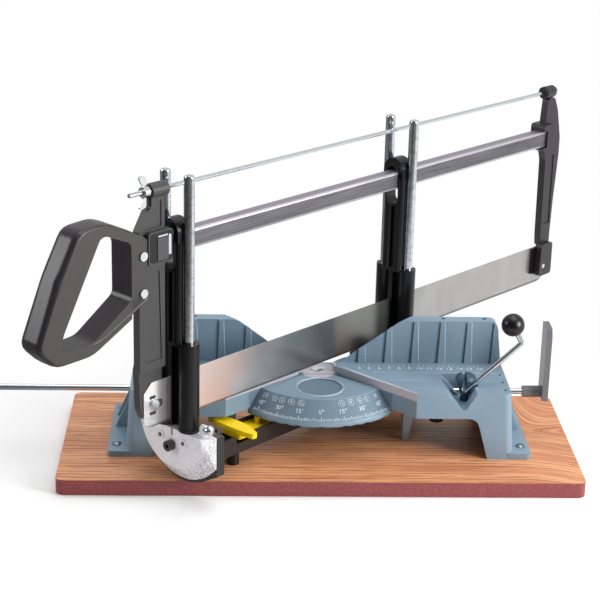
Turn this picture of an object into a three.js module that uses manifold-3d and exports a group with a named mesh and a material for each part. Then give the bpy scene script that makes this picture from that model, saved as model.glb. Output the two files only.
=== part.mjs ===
// Hand mitre saw with tilting saw guide, on a wooden board. Millimetres, +Z up.
// The origin is the centre of the board's underside. +X runs along the fence to the right, +Y away from the user.
// It is drawn with the saw at its 45 degree mitre, upright, lowered on to the table and pushed forward.
import * as THREE from "three";
import { mergeVertices } from "three/addons/utils/BufferGeometryUtils.js";
import Module from "manifold-3d";

const wasm = await Module();
wasm.setup();

// Clearances and cutting overrun
const touchGap = 0.3;
const runGap = 0.35;
const overrun = 3;

// Board
const boardLength = 500;
const boardDepth = 212;
const boardThickness = 15;
const boardCorner = 9;
const boardTop = boardThickness;

// Turning point of the saw arm, on the centre line of the board
const pivotY = 27;
const restMitre = Math.PI / 4;

// Cast table
const tableHeight = 66;
const tableTop = boardTop + tableHeight;
const castWall = 4;
const tableHalfLength = 183.5;
const tableFront = 75.2;
const tipX = 15.6;
const tipFront = 5.2;
const tipBackCorner = 12;
const diagonalX = 91.7;
const apronHeight = 25;
const apronBottom = tableTop - apronHeight;
const endDraft = 4.2;
const frontDraft = 5.4;
const tableCorner = 8;
const backReach = 34;
const legWidth = 32.5;
const legSlant = 11.5;
const legInnerTop = tableHalfLength - legWidth;
const legInnerFoot = legInnerTop + legSlant;
const legCurve = 9;
const footWidth = 21.5;
const footHalfLength = tableHalfLength + footWidth;
const footThickness = 6;
const footBack = 38;
const footCorner = 5;
const gussetThickness = 4;
const gussetHeight = 34;
const gussetFrontY = -20;
const gussetBackY = 8;
const footScrewReach = 13.5;
const footScrewX = tableHalfLength + footScrewReach;
const footScrewFrontY = -63;
const footScrewBackY = 25;
const tableGrooveWidth = 2;
const tableGrooveDepth = 0.9;
const tableGrooveFront = 20.8;
const tableGroovePitch = 19.5;
const tableGrooveCount = 3;
const tableGrooveStart = 52.1;
const tableGrooveStep = 18.6;
const pocketHoleRadius = 1.8;
const pocketHoleDepth = 2.4;
const pocketHoleInset = 5.5;
const pocketHoleDrop = 4.8;
const shoeFootWidth = 5.5;
const shoeTopWidth = 11;
const shoeX = 86.4;
const shoeTopFront = 62;
const shoeTopBack = 33;
const shoeFootFront = 36;
const shoeFootBack = 31;

// Fence
const fenceSetback = 4.2;
const fenceHeight = 44.4;
const fenceDepth = 15;
const fenceTop = tableTop + fenceHeight;
const fenceFootX = 19.9;
const fenceShoulderX = 80.2;
const fenceTopSetIn = 5.5;
const fenceTopEndX = tableHalfLength - fenceTopSetIn;
const fenceRelief = 13.4;
const fenceRound = 8;
const fenceFace = 4.6;
const ribPitch = 26.7;
const ribFirstX = 43.4;
const ribCount = 6;
const ribTopWidth = 6.6;
const ribFootWidth = 10;
const ribHeight = 1.4;
const ribBevel = 1.3;
const fenceBossRadius = 5.2;
const fenceHoleRadius = 2.6;
const fenceHoleDepth = 20;
const fenceHoleXs = [124, 165.4];

// Protractor and pivot bridge
const dialDrop = 8;
const dialTop = tableTop - dialDrop;
const dialRadius = 71.4;
const dialRimRadius = 88;
const dialConeRadius = 87.4;
const dialBandHeight = 4.5;
const dialBandDrop = 22.5;
const dialBottom = dialTop - dialBandDrop;
const dialWall = 4;
const dialHalfAngle = (51.5 * Math.PI) / 180;
const dialRecessRadius = 22;
const dialRecessY = -41;
const dialRecessDepth = 1;
const detentWidth = 5;
const detentDepth = 3;
const detentAngles = [-45, -30, -22.5, -15, 0, 15, 22.5, 30, 45];
const bridgeDrop = 6;
const bridgeTop = tableTop - bridgeDrop;
const bridgeHalfWidth = 21;
const hubRadius = 15;
const pivotRadius = 5;
const pivotHeadRadius = 6.4;
const pivotHeadHeight = 1.8;

// Saw arm under the table
const armWidth = 30;
const armHeight = 16.5;
const armBottom = 29;
const armTop = armBottom + armHeight;
const armWall = 3.2;
const armHubRadius = 17;
const tiltZ = 76;
const frontPlateS = -185;
const rearPlateS = 109;
const plateThickness = 9.6;
const plateRadius = 60;
const plateRight = 45;
const plateLeft = 45;
const plateTop = 71.5;
const plateCutX = 26;
const plateCutZ = 33;
const plateRecess = 3.8;
const plateRecessRadius = 27;
const slotRadius = 20;
const slotWidth = 7;
const tiltMax = Math.PI / 4;
const padRadius = 6;
const padS = -125;
const padX = 6;
const padStudRadius = 2.5;
const padStudHeight = 4;

// Detent lever
const leverThickness = 3;
const leverWidth = 23;
const paddleS = -118;
const paddleLength = 62;
const paddleDepth = 8;
const paddleHeight = 5;
const paddleTipShare = 0.72;
const paddleBackShare = 0.1;
const paddleSink = 7.5;
const paddleClearance = 3;
const leverPinS = -48;
const leverPinRadius = 2;
const leverBossRadius = 4;
const leverLift = 1.6;
const springRadius = 3.4;
const springWire = 0.9;
const springTurns = 4;
const springS = -84;

// Tilting brackets and guide rods
const bracketThickness = 13.6;
const bracketRadius = 56.6;
const bracketFaceRadius = 42.5;
const bracketRimWidth = 2;
const bracketLeft = 51;
const bracketRight = 45;
const bracketFacetX = 37.5;
const bracketFacetDepth = 11.6;
const bracketFacetZ = 38;
const screwBossRadius = 4.4;
const screwBossHeight = 0.9;
const bracketTop = 72.5;
const rodSpacing = 30.4;
const rodRadius = 4.9;
const rodTop = 314.4;
const rodBottom = 40;
const rodDome = 2.2;
const rodWall = 6.6;
const frontRodS = frontPlateS - rodWall;
const rearRodS = rearPlateS + rodWall;
const tiltBoltRadius = 3;
const tiltHeadRadius = 5.2;
const tiltHeadLength = 6;
const tiltSocketRadius = 2.6;
const tiltSocketDepth = 3;
const tiltNutRadius = 6;
const tiltNutLength = 5;
const setScrewRadius = 2.1;
const setScrewZ = 61.7;
const setScrewSink = 0.8;
const bladeReliefWidth = 2.6;
const bladeReliefDepth = 7;
const collarRadius = 9.8;
const collarHeight = 3.4;
const thumbRadius = 5;
const thumbLength = 5.4;
const thumbStemRadius = 2;
const thumbStemLength = 10;
const thumbS = -191;
const thumbX = 30;
const thumbRise = 7.8;
const thumbEarThickness = 4;
const thumbEarHalf = 3.6;

// Sliding guides
const frontTubeRadius = 9.6;
const rearTubeRadius = 8.4;
const tubeBottom = bracketTop + touchGap + collarHeight + touchGap;
const tubeTop = 158.5;
const legRadius = 5.2;
const legX = 7.35;
const legForward = 5.7;
const guideTop = 274.4;
const guideWebHalf = 3.2;
const guideShelf = 3;
const guideFinHalf = 2.6;
const barWindowBottom = 226;
const barWindowTop = 266;
const windowRim = 1.6;
const windowRimHeight = 1;

// Saw frame
const bladeThickness = 0.8;
const bladeBottom = tableTop;
const bladeWidth = 43.4;
const bladeFront = -233;
const bladeRear = 381.5;
const bladeChamfer = 9;
const bladeFootChamfer = 5.6;
const toothPitch = 1.8;
const toothDepth = 0.9;
const bladeHoleRadius = 4;
const bladePinRadius = 2.6;
const bladePinHeadRadius = 5;
const bladePinHead = 1.6;
const bladeHoleS = 12.2;
const bladeHoleZ = 102.2;
const bladeKeyReach = 6.6;
const bladeSlotLength = 7.7;
const bladeSlotWidth = 3.4;
const bladeSlotOffset = 7.7;
const bladeSlotSetBack = 1.9;
const barThickness = 14;
const barHeight = 18.4;
const barZ = 252;
const barWall = 1.6;
const barFront = -220.5;
const barRear = 359;
const armHalfThickness = 4.2;
const frontArmFront = -240.6;
const frontArmRear = -210.5;
const frameTopZ = 303;
const barrelRadius = 6.8;
const barrelLength = 19;
const neckSetback = 14.8;
const neckDrop = 15.2;
const neckShelf = 3;
const neckSlope = 19;
const frontArmBottom = 89;
const frontArmStep = 142.5;
const frontCheekTaper = 3;
const tongueReach = 4.9;
const tongueMargin = 7;
const cheekThickness = 8;
const socketTop = 268.5;
const socketBottom = 238.5;
const socketFront = -234;
const socketRear = -205;
const socketHalfWidth = 9.4;
const socketRound = 4;
const panelDepth = 1;
const rearArmFront = 361;
const rearArmRear = 391;
const rearArmBottom = 91;
const rearSocketFront = 353;
const rearSocketRear = 371;
const rearCheekThickness = 9;
const frameRodRadius = 2;
const frameRodFront = -248;
const frameRodHead = 3.6;
const frameRodHeadLength = 5;
const wingHubRadius = 5;
const wingHubLength = 7;
const wingSpan = 14;
const wingThickness = 1.8;
const wingRadius = 5;

// Handle
const handleFront = 123.1;
const handleRootS = -233.5;
const handleBottom = 175.7;
const handleHeight = 110.8;
const handleHalfThickness = 13;
const handleFlangeHalf = 8;
const handleEdge = 5;
const rivetRadius = 3;
const rivetHeadRadius = 4.2;
const rivetHead = 1.4;
const rivetSetIn = 6;
const rivetS = handleRootS - rivetSetIn;
const rivetZs = [249, 215];

// Length stop
const stopRodRadius = 3;
const stopRodY = -28;
const stopRodDrop = 16;
const stopRodZ = tableTop - stopRodDrop;
const stopRodLeft = -338;
const stopPlateReach = 14;
const stopPlateX = footHalfLength + stopPlateReach;
const stopPlateThickness = 5.8;
const stopPlateFront = 13;
const stopPlateBack = 11;
const stopPlateBottom = 60;
const stopPlateTop = 135;
const stopChamfer = 4;
const stopBossRadius = 5.8;
const stopBossLength = 18;
const stopKnobSetIn = 66.4;
const stopKnobX = tableHalfLength - stopKnobSetIn;
const stopKnobRadius = 6.9;
const stopKnobHeight = 13;
const stopKnobDrop = 48;
const stopKnobBottom = tableTop - stopKnobDrop;
const stopKnobFlutes = 12;
const stopKnobFluteRadius = 1.4;
const stopStemRadius = 3;
const stopBlockHalf = 10;
const stopBlockDrop = 27;
const stopBlockBottom = tableTop - stopBlockDrop;
const rodBossRadius = 8;
const rodBossLength = 12;

// Work clamp
const clampSetIn = 43.9;
const clampX = tableHalfLength - clampSetIn;
const clampY = -49;
const clampPocketRadius = 14;
const clampPocketDrop = 17;
const clampPocketFloor = tableTop - clampPocketDrop;
const clampWall = 4;
const chuteLeft = 20.4;
const chuteRight = 10.2;
const chuteDepth = 16.3;
const chuteBottomSetIn = 1.4;
const chuteRound = 5;
const chuteBack = -21;
const camFootRadius = 4;
const camRadius = 10;
const camOffset = 1.6;
const camRise = 11;
const camCrown = 5;
const camSlotWidth = 4;
const camSlotShift = 1.8;
const camSlotDrop = 10;
const clampPinRadius = 3;
const leverRodRadius = 2.6;
const leverForward = 5;
const leverRodDrop = 6;
const leverRodReach = 53;
const leverRodRise = 51;
const leverTopIn = 9.6;
const leverTopUp = 18.4;
const ballRadius = 11.2;

// Screws in the feet
const screwHeadRadius = 4.6;
const screwHeadHeight = 2.4;
const screwShankRadius = 2;
const screwShankLength = 12;

const roundSegments = 24;
const smallSegments = 14;
const dialSegments = 64;
const cornerSteps = 4;
const halfTurn = Math.PI;
const quarterTurn = Math.PI / 2;

// Colours and finishes
const finish = (color, roughness, metalness) => new THREE.MeshStandardMaterial({ color, roughness, metalness });
const paintedBlue = finish(0x7f95a4, 0.55, 0.1);
const blackCoat = finish(0x2c2c30, 0.5, 0.2);
const blackPlastic = finish(0x1f2023, 0.45, 0);
const zincPlate = finish(0xc6ccd0, 0.28, 0.9);
const bladeSteel = finish(0xb5ada5, 0.35, 0.85);
const dieCast = finish(0xc9c9cc, 0.5, 0.6);
const yellowPlastic = finish(0xf6d90f, 0.45, 0);
const woodLaminate = finish(0xb98257, 0.5, 0);

// Geometry helpers
function solidFrom(geometry) {
  const bare = geometry.clone();
  bare.deleteAttribute("normal");
  bare.deleteAttribute("uv");
  const merged = mergeVertices(bare, 1e-4);
  return new wasm.Manifold(
    new wasm.Mesh({
      numProp: 3,
      vertProperties: merged.attributes.position.array,
      triVerts: new Uint32Array(merged.index.array),
    }),
  );
}

function geometryFrom(solid) {
  const mesh = solid.getMesh();
  const geometry = new THREE.BufferGeometry();
  geometry.setAttribute("position", new THREE.BufferAttribute(new Float32Array(mesh.vertProperties), 3));
  geometry.setIndex(new THREE.BufferAttribute(new Uint32Array(mesh.triVerts), 1));
  const flat = geometry.toNonIndexed();
  flat.computeVertexNormals();
  return flat;
}

const joined = (first, ...rest) => rest.reduce((sum, next) => sum.add(next), first);
const cutBy = (first, ...rest) => rest.reduce((left, next) => left.subtract(next), first);

function outline(points) {
  return new THREE.Shape(points.map(([a, b]) => new THREE.Vector2(a, b)));
}

// An outline with each corner rounded by the same radius
function roundedOutline(points, radius) {
  const shape = new THREE.Shape();
  const corners = points.map(([a, b]) => new THREE.Vector2(a, b));
  corners.forEach((corner, i) => {
    const before = corners[(i + corners.length - 1) % corners.length];
    const after = corners[(i + 1) % corners.length];
    const towardBefore = before.clone().sub(corner);
    const towardAfter = after.clone().sub(corner);
    const reach = Math.min(radius, towardBefore.length() / 2, towardAfter.length() / 2);
    const start = corner.clone().add(towardBefore.setLength(reach));
    const end = corner.clone().add(towardAfter.setLength(reach));
    if (i === 0) shape.moveTo(start.x, start.y);
    else shape.lineTo(start.x, start.y);
    shape.quadraticCurveTo(corner.x, corner.y, end.x, end.y);
  });
  shape.closePath();
  return shape;
}

const extruded = (shape, depth, curveSegments = 4) =>
  new THREE.ExtrudeGeometry(shape, { depth, bevelEnabled: false, curveSegments });

// Outline in plan, standing on z = bottom
const standing = (shape, bottom, top, curveSegments) =>
  solidFrom(extruded(shape, top - bottom, curveSegments).translate(0, 0, bottom));

// Outline in front view (x, z), running from y = near back to y = far
function frontView(shape, near, far, curveSegments) {
  const geometry = extruded(shape, far - near, curveSegments).rotateX(quarterTurn);
  return solidFrom(geometry.translate(0, far, 0));
}

// Turns an outline drawn in plan into a side view
const sideTurn = new THREE.Matrix4().makeBasis(
  new THREE.Vector3(0, 1, 0),
  new THREE.Vector3(0, 0, 1),
  new THREE.Vector3(1, 0, 0),
);

// Outline in side view (y, z), running from x = left to x = right
function sideView(shape, left, right, curveSegments) {
  const geometry = extruded(shape, right - left, curveSegments);
  return solidFrom(geometry.applyMatrix4(sideTurn).translate(left, 0, 0));
}

function box(x0, x1, y0, y1, z0, z1) {
  const geometry = new THREE.BoxGeometry(x1 - x0, y1 - y0, z1 - z0);
  return solidFrom(geometry.translate((x0 + x1) / 2, (y0 + y1) / 2, (z0 + z1) / 2));
}

function rodAlongZ(radius, x, y, z0, z1, segments = roundSegments) {
  const geometry = new THREE.CylinderGeometry(radius, radius, z1 - z0, segments).rotateX(quarterTurn);
  return solidFrom(geometry.translate(x, y, (z0 + z1) / 2));
}

function rodAlongY(radius, x, z, y0, y1, segments = smallSegments) {
  const geometry = new THREE.CylinderGeometry(radius, radius, y1 - y0, segments);
  return solidFrom(geometry.translate(x, (y0 + y1) / 2, z));
}

function rodAlongX(radius, y, z, x0, x1, segments = smallSegments) {
  const geometry = new THREE.CylinderGeometry(radius, radius, x1 - x0, segments).rotateZ(quarterTurn);
  return solidFrom(geometry.translate((x0 + x1) / 2, y, z));
}

// A profile of [radius, height] pairs turned about the Z axis
function turned(profile, x, y, segments = roundSegments) {
  const points = profile.map(([r, z]) => new THREE.Vector2(r, z));
  return solidFrom(new THREE.LatheGeometry(points, segments).rotateX(quarterTurn).translate(x, y, 0));
}

// A profile of [radius, y] pairs turned about an axis along Y at height z
function turnedAlongY(profile, x, z, segments = roundSegments) {
  const points = profile.map(([r, y]) => new THREE.Vector2(r, y));
  return solidFrom(new THREE.LatheGeometry(points, segments).translate(x, 0, z));
}

// A straight-sided block between two plan outlines with as many points each
function drafted(lower, upper, bottom, top) {
  return solidFrom(lofted([lower, upper], [bottom, top]));
}

// A skin over plan outlines with as many points each, one above the other, closed at both ends
function lofted(sections, heights) {
  const positions = [];
  const at = (level, i) => [...sections[level], sections[level][0]][i].concat(heights[level]);
  const last = sections.length - 1;
  const points = sections[last].map(([a, b]) => new THREE.Vector2(a, b));
  for (const [a, b, c] of THREE.ShapeUtils.triangulateShape(points, [])) {
    positions.push(...at(last, a), ...at(last, b), ...at(last, c));
    positions.push(...at(0, c), ...at(0, b), ...at(0, a));
  }
  for (let level = 0; level < last; level++) {
    for (let i = 0; i < points.length; i++) {
      positions.push(...at(level, i), ...at(level, i + 1), ...at(level + 1, i + 1));
      positions.push(...at(level, i), ...at(level + 1, i + 1), ...at(level + 1, i));
    }
  }
  const geometry = new THREE.BufferGeometry();
  geometry.setAttribute("position", new THREE.BufferAttribute(new Float32Array(positions), 3));
  return geometry;
}

const mirroredX = (solid) => solid.mirror([1, 0, 0]);

// Groups: the board's frame, the pivot's frame and the saw's own frame (x across the blade, y along it)
const model = new THREE.Group();
const atPivot = new THREE.Group();
atPivot.position.set(0, pivotY, 0);
const sawFrame = new THREE.Group();
sawFrame.rotation.z = -restMitre;
model.add(atPivot);
atPivot.add(sawFrame);

function place(group, name, solid, material) {
  const mesh = new THREE.Mesh(geometryFrom(solid), material);
  mesh.name = name;
  group.add(mesh);
}

// Wooden board
function board() {
  const x = boardLength / 2;
  const y = boardDepth / 2;
  const plan = [[-x, -y], [x, -y], [x, y], [-x, y]];
  return standing(roundedOutline(plan, boardCorner), 0, boardTop, 6);
}

// Cast table, fence and protractor in one piece: plan outline of the right half
function halfPlan(inset) {
  const back = fenceSetback + fenceDepth;
  const slope = (diagonalX - tipX) / (tableFront - tipFront);
  const along = inset * Math.hypot(1, slope);
  const side = tableHalfLength - inset;
  const front = -tableFront + inset;
  const round = tableCorner - inset;
  const corner = Array.from({ length: cornerSteps + 1 }, (_, k) => {
    const angle = -quarterTurn + (quarterTurn * k) / cornerSteps;
    return [side - round + round * Math.cos(angle), front + round + round * Math.sin(angle)];
  });
  return [
    [tipX + inset, -tipFront + inset / 2],
    [tipX + along + slope * (tableFront - inset - tipFront), front],
    ...corner,
    [side, back - inset],
    [tipX + tipBackCorner + inset / 2, back - inset],
    [tipX + inset, back - tipBackCorner - inset / 2],
  ];
}

// The same outline at the table's foot, spread by the draft of its walls
function spread(plan) {
  const back = fenceSetback;
  return plan.map(([x, y], i) => {
    if (i === 0 || i > cornerSteps + 3) return [x, y];
    if (i === 1) return [x, y - frontDraft];
    if (y > back) return [x + endDraft, y + backReach - fenceSetback - fenceDepth];
    return [x + endDraft, y - frontDraft];
  });
}

function tableShell() {
  const outer = drafted(spread(halfPlan(0)), halfPlan(0), boardTop, tableTop);
  const under = halfPlan(castWall);
  const inner = drafted(spread(under), under, boardTop - overrun, tableTop - castWall);
  const legSlope = (legInnerFoot - legInnerTop) / tableHeight;
  const opening = new THREE.Shape();
  opening.moveTo(-overrun, boardTop - overrun);
  opening.lineTo(legInnerFoot + legSlope * overrun, boardTop - overrun);
  opening.lineTo(legInnerTop + legCurve / 4, apronBottom - legCurve);
  opening.quadraticCurveTo(legInnerTop, apronBottom, legInnerTop - legCurve, apronBottom);
  opening.lineTo(-overrun, apronBottom);
  opening.closePath();
  const reach = tableFront + frontDraft + overrun;
  return cutBy(outer, inner, frontView(opening, -reach, backReach + overrun, 6));
}

function footFlange() {
  const inner = tableHalfLength - castWall;
  const front = -tableFront - frontDraft;
  const plan = [[inner, front], [footHalfLength, front], [footHalfLength, footBack], [inner, footBack]];
  const plate = standing(roundedOutline(plan, footCorner), boardTop, boardTop + footThickness, 3);
  const top = boardTop + footThickness;
  const gusset = outline([
    [tableHalfLength, top - footThickness / 2],
    [footHalfLength - gussetThickness, top - footThickness / 2],
    [footHalfLength - gussetThickness, top],
    [tableHalfLength + endDraft / 2, top + gussetHeight],
    [tableHalfLength - castWall / 2, top + gussetHeight],
  ]);
  const front1 = frontView(gusset, gussetFrontY - gussetThickness / 2, gussetFrontY + gussetThickness / 2);
  const back1 = frontView(gusset, gussetBackY - gussetThickness / 2, gussetBackY + gussetThickness / 2);
  const holes = [footScrewFrontY, footScrewBackY].map((y) =>
    rodAlongZ(screwShankRadius + touchGap, footScrewX, y, boardTop - overrun, top + overrun, smallSegments),
  );
  return cutBy(joined(plate, front1, back1), ...holes);
}

// Tapered leg under the front corner of the table, leaning back to stay clear of the swinging arm
function innerLeg() {
  const low = boardTop;
  const high = tableTop - castWall / 2;
  const turn = apronBottom + castWall;
  const section = (width, front, rear) => [
    [shoeX - width / 2, -front],
    [shoeX + width / 2, -front],
    [shoeX + width / 2, -rear],
    [shoeX - width / 2, -rear],
  ];
  const foot = section(shoeFootWidth, shoeFootFront, shoeFootBack);
  const top = section(shoeTopWidth, shoeTopFront, shoeTopBack);
  return solidFrom(lofted([foot, top, top], [low, turn, high]));
}

function fencePanel() {
  const foot = tableTop - castWall;
  const footStep = (castWall * (fenceShoulderX - fenceFootX)) / fenceHeight;
  const profile = roundedOutline(
    [
      [fenceFootX - footStep, foot],
      [tableHalfLength, foot],
      [tableHalfLength, tableTop],
      [fenceTopEndX, fenceTop],
      [fenceShoulderX, fenceTop],
    ],
    fenceRound,
  );
  const back = fenceSetback + fenceDepth;
  const face = fenceSetback + ribHeight;
  const full = frontView(profile, face, back, 4);
  const ribs = joined(...fenceRibs(face)).intersect(frontView(profile, fenceSetback, back, 4));
  const inset = castWall;
  const slope = (fenceShoulderX - fenceFootX) / fenceHeight;
  const hollow = outline([
    [fenceFootX + fenceRelief + inset + slope * inset, tableTop],
    [tableHalfLength - inset, tableTop],
    [fenceTopEndX - inset, fenceTop - inset],
    [fenceShoulderX + fenceRelief + inset, fenceTop - inset],
  ]);
  const pocket = frontView(hollow, fenceSetback + fenceFace, back + overrun);
  const bosses = fenceHoleXs.map((x) =>
    rodAlongZ(fenceBossRadius, x, fenceSetback + fenceDepth - fenceBossRadius, tableTop - castWall / 2, fenceTop - inset / 2, smallSegments),
  );
  const holes = fenceHoleXs.map((x) =>
    rodAlongZ(fenceHoleRadius, x, fenceSetback + fenceDepth - fenceBossRadius, fenceTop - fenceHoleDepth, fenceTop + overrun, smallSegments),
  );
  return cutBy(joined(cutBy(full, pocket), ribs, ...bosses), ...holes, fenceReliefCut());
}

// The fence's inner end is cut back so that the tilted blade can pass
function fenceReliefCut() {
  const slope = (fenceShoulderX - fenceFootX) / fenceHeight;
  const low = tableTop - castWall - overrun;
  const high = fenceTop + overrun;
  const edge = (z) => fenceFootX + slope * (z - tableTop);
  const deep = fenceDepth + overrun;
  const shift = (fenceRelief * deep) / fenceDepth;
  const far = fenceFootX + fenceShoulderX;
  const lower = [[edge(low), fenceSetback], [edge(low) + shift, fenceSetback + deep], [-far, fenceSetback + deep], [-far, fenceSetback]];
  const upper = [[edge(high), fenceSetback], [edge(high) + shift, fenceSetback + deep], [-far, fenceSetback + deep], [-far, fenceSetback]];
  return cutBy(drafted(lower, upper, low, high), box(-far - overrun, fenceShoulderX, 0, fenceSetback + deep + overrun, low - overrun, bridgeTop));
}

function fenceRibs(face) {
  const shape = (width, z) => [middleOffset(width, -1, z), middleOffset(width, 1, z)];
  const outlineOf = (trim) => [
    ...shape(ribFootWidth - 2 * trim, tableTop - castWall / 2),
    ...shape(ribTopWidth - 2 * trim, fenceTop - trim / 2).reverse(),
  ];
  const foot = outlineOf(0);
  const crest = outlineOf(ribBevel);
  const rib = solidFrom(lofted([foot, crest], [-face - ribHeight, -fenceSetback]).rotateX(quarterTurn));
  return Array.from({ length: ribCount }, (_, k) => rib.translate([ribFirstX + ribPitch * k, 0, 0]));
}

const middleOffset = (width, side, z) => [(side * width) / 2, z];

function dial() {
  const cone = dialBottom + dialBandHeight;
  const profile = [
    [0, dialTop - dialWall],
    [dialRadius - dialWall / 2, dialTop - dialWall],
    [dialConeRadius - dialWall, cone],
    [dialRimRadius - dialWall, dialBottom],
    [dialRimRadius, dialBottom],
    [dialRimRadius, cone - dialBandHeight / 4],
    [dialConeRadius, cone],
    [dialRadius, dialTop],
    [0, dialTop],
  ];
  const disc = turned(profile, 0, 0, dialSegments);
  const far = dialRimRadius * 2;
  const wedge = outline([
    [0, fenceSetback],
    [-far * Math.tan(dialHalfAngle), -far],
    [far * Math.tan(dialHalfAngle), -far],
  ]);
  const sector = disc.intersect(standing(wedge, dialBottom - overrun, dialTop + overrun));
  const recess = rodAlongZ(dialRecessRadius, 0, dialRecessY, dialTop - dialRecessDepth, dialTop + overrun);
  return cutBy(sector, recess, ...detents());
}

function detents() {
  return detentAngles.map((angle) => {
    const notch = new THREE.BoxGeometry(detentWidth, dialWall * 3, detentDepth * 2);
    notch.translate(0, -dialRimRadius + dialWall / 2, dialBottom);
    notch.rotateZ((angle * Math.PI) / 180);
    return solidFrom(notch);
  });
}

// Machined bridge between the table halves, with the hub that the arm turns on
function bridge() {
  const back = fenceSetback + fenceDepth;
  const plate = box(-bridgeHalfWidth, bridgeHalfWidth, -tipFront - castWall, back, dialTop - dialWall, bridgeTop);
  const hub = rodAlongZ(hubRadius, 0, 0, armTop + touchGap, bridgeTop - castWall / 2);
  return joined(plate, hub);
}

function tableDetails() {
  const grooves = Array.from({ length: tableGrooveCount }, (_, k) => {
    const y = -tableGrooveFront - tableGroovePitch * k;
    const profile = outline([
      [y - tableGrooveWidth / 2, tableTop],
      [y, tableTop - tableGrooveDepth],
      [y + tableGrooveWidth / 2, tableTop],
      [y + tableGrooveWidth / 2, tableTop + overrun],
      [y - tableGrooveWidth / 2, tableTop + overrun],
    ]);
    return sideView(profile, tableGrooveStart + tableGrooveStep * k, tableHalfLength - castWall);
  });
  const dimples = grooves.map((_, k) => {
    const y = -tableGrooveFront - tableGroovePitch * k - pocketHoleDrop;
    const x = tableHalfLength - pocketHoleInset;
    return rodAlongZ(pocketHoleRadius, x, y, tableTop - pocketHoleDepth, tableTop + overrun, smallSegments);
  });
  return [...grooves, ...dimples];
}

// Pocket for the work clamp in the right half: a solid bed, then its bowl and the V chute that runs through it
function clampBed() {
  const left = clampX - chuteLeft - clampWall;
  const right = clampX + clampPocketRadius + clampWall;
  const top = tableTop - castWall / 2;
  return box(left, right, -tableFront + castWall / 2, chuteBack + clampWall, clampPocketFloor - clampWall, top);
}

function clampPocket() {
  const bowl = rodAlongZ(clampPocketRadius, clampX, clampY, clampPocketFloor, tableTop + overrun);
  const left = clampX - chuteLeft;
  const right = clampX + chuteRight;
  const chute = roundedOutline(
    [
      [left, tableTop],
      [clampX - chuteBottomSetIn, tableTop - chuteDepth - chuteRound / 2],
      [right, tableTop],
      [right, tableTop + overrun * 2],
      [left, tableTop + overrun * 2],
    ],
    chuteRound,
  );
  const floor = clampPocketFloor;
  const pinHole = rodAlongZ(clampPinRadius + runGap, clampX, clampY, floor - clampWall - overrun, floor + overrun, smallSegments);
  return [bowl, frontView(chute, -tableFront - frontDraft - overrun, chuteBack), pinHole];
}

function stopBlock() {
  const top = tableTop - castWall / 2;
  return box(
    stopKnobX - stopBlockHalf,
    stopKnobX + stopBlockHalf,
    stopRodY - stopBlockHalf,
    stopRodY + stopBlockHalf,
    stopBlockBottom,
    top,
  );
}

function casting() {
  const half = () => joined(tableShell(), footFlange(), innerLeg(), fencePanel());
  const rodBoss = rodAlongX(rodBossRadius, stopRodY, stopRodZ, tableHalfLength - rodBossLength, tableHalfLength);
  const right = joined(half(), rodBoss, clampBed(), stopBlock());
  const left = mirroredX(joined(half(), rodBoss));
  const body = joined(right, left, dial(), bridge());
  const rodHole = rodAlongX(stopRodRadius + runGap, stopRodY, stopRodZ, -footHalfLength, footHalfLength);
  const knobHole = rodAlongZ(stopStemRadius + runGap, stopKnobX, stopRodY, stopBlockBottom - overrun, stopRodZ, smallSegments);
  const pivotHole = rodAlongZ(pivotRadius + touchGap, 0, 0, armBottom, tableTop);
  const details = tableDetails();
  return cutBy(body, rodHole, knobHole, pivotHole, ...clampPocket(), ...details, ...details.map(mirroredX));
}

function footScrew(x, y) {
  const seat = boardTop + footThickness;
  const head = turned(
    [
      [0, seat + touchGap],
      [screwHeadRadius, seat + touchGap],
      [screwHeadRadius, seat + screwHeadHeight / 3],
      [screwHeadRadius / 2, seat + screwHeadHeight],
      [0, seat + screwHeadHeight],
    ],
    x,
    y,
    smallSegments,
  );
  return joined(head, rodAlongZ(screwShankRadius, x, y, seat - screwShankLength, seat + screwHeadHeight / 3, smallSegments));
}

// Pivot bolt, washer and nut
const pivotWasherBottom = armBottom - touchGap - castWall / 2;
function pivotBolt() {
  const head = turned(
    [
      [0, bridgeTop + touchGap],
      [pivotHeadRadius, bridgeTop + touchGap],
      [pivotHeadRadius, bridgeTop + pivotHeadHeight / 2],
      [pivotHeadRadius / 2, bridgeTop + pivotHeadHeight],
      [0, bridgeTop + pivotHeadHeight],
    ],
    0,
    0,
  );
  return joined(head, rodAlongZ(pivotRadius, 0, 0, boardTop + castWall, bridgeTop + pivotHeadHeight / 2));
}

function pivotWasher() {
  const top = armBottom - touchGap;
  const ring = rodAlongZ(armHubRadius - armWall, 0, 0, pivotWasherBottom, top);
  return cutBy(ring, rodAlongZ(pivotRadius + touchGap, 0, 0, pivotWasherBottom - overrun, top + overrun));
}

function pivotNut() {
  const top = pivotWasherBottom - touchGap;
  const nut = rodAlongZ(armHubRadius / 2, 0, 0, boardTop + castWall + touchGap, top, 6);
  return cutBy(nut, rodAlongZ(pivotRadius + touchGap, 0, 0, boardTop, top + overrun));
}

// Board fastened under the casting: the screw holes
function boardWithHoles() {
  const spots = [-1, 1].flatMap((side) => [footScrewFrontY, footScrewBackY].map((y) => [side * footScrewX, y + pivotY]));
  const depth = screwShankLength - footThickness + overrun;
  const holes = spots.map(([x, y]) => rodAlongZ(screwShankRadius + touchGap, x, y, boardTop - depth, boardTop + overrun, smallSegments));
  return cutBy(board(), ...holes);
}

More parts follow.
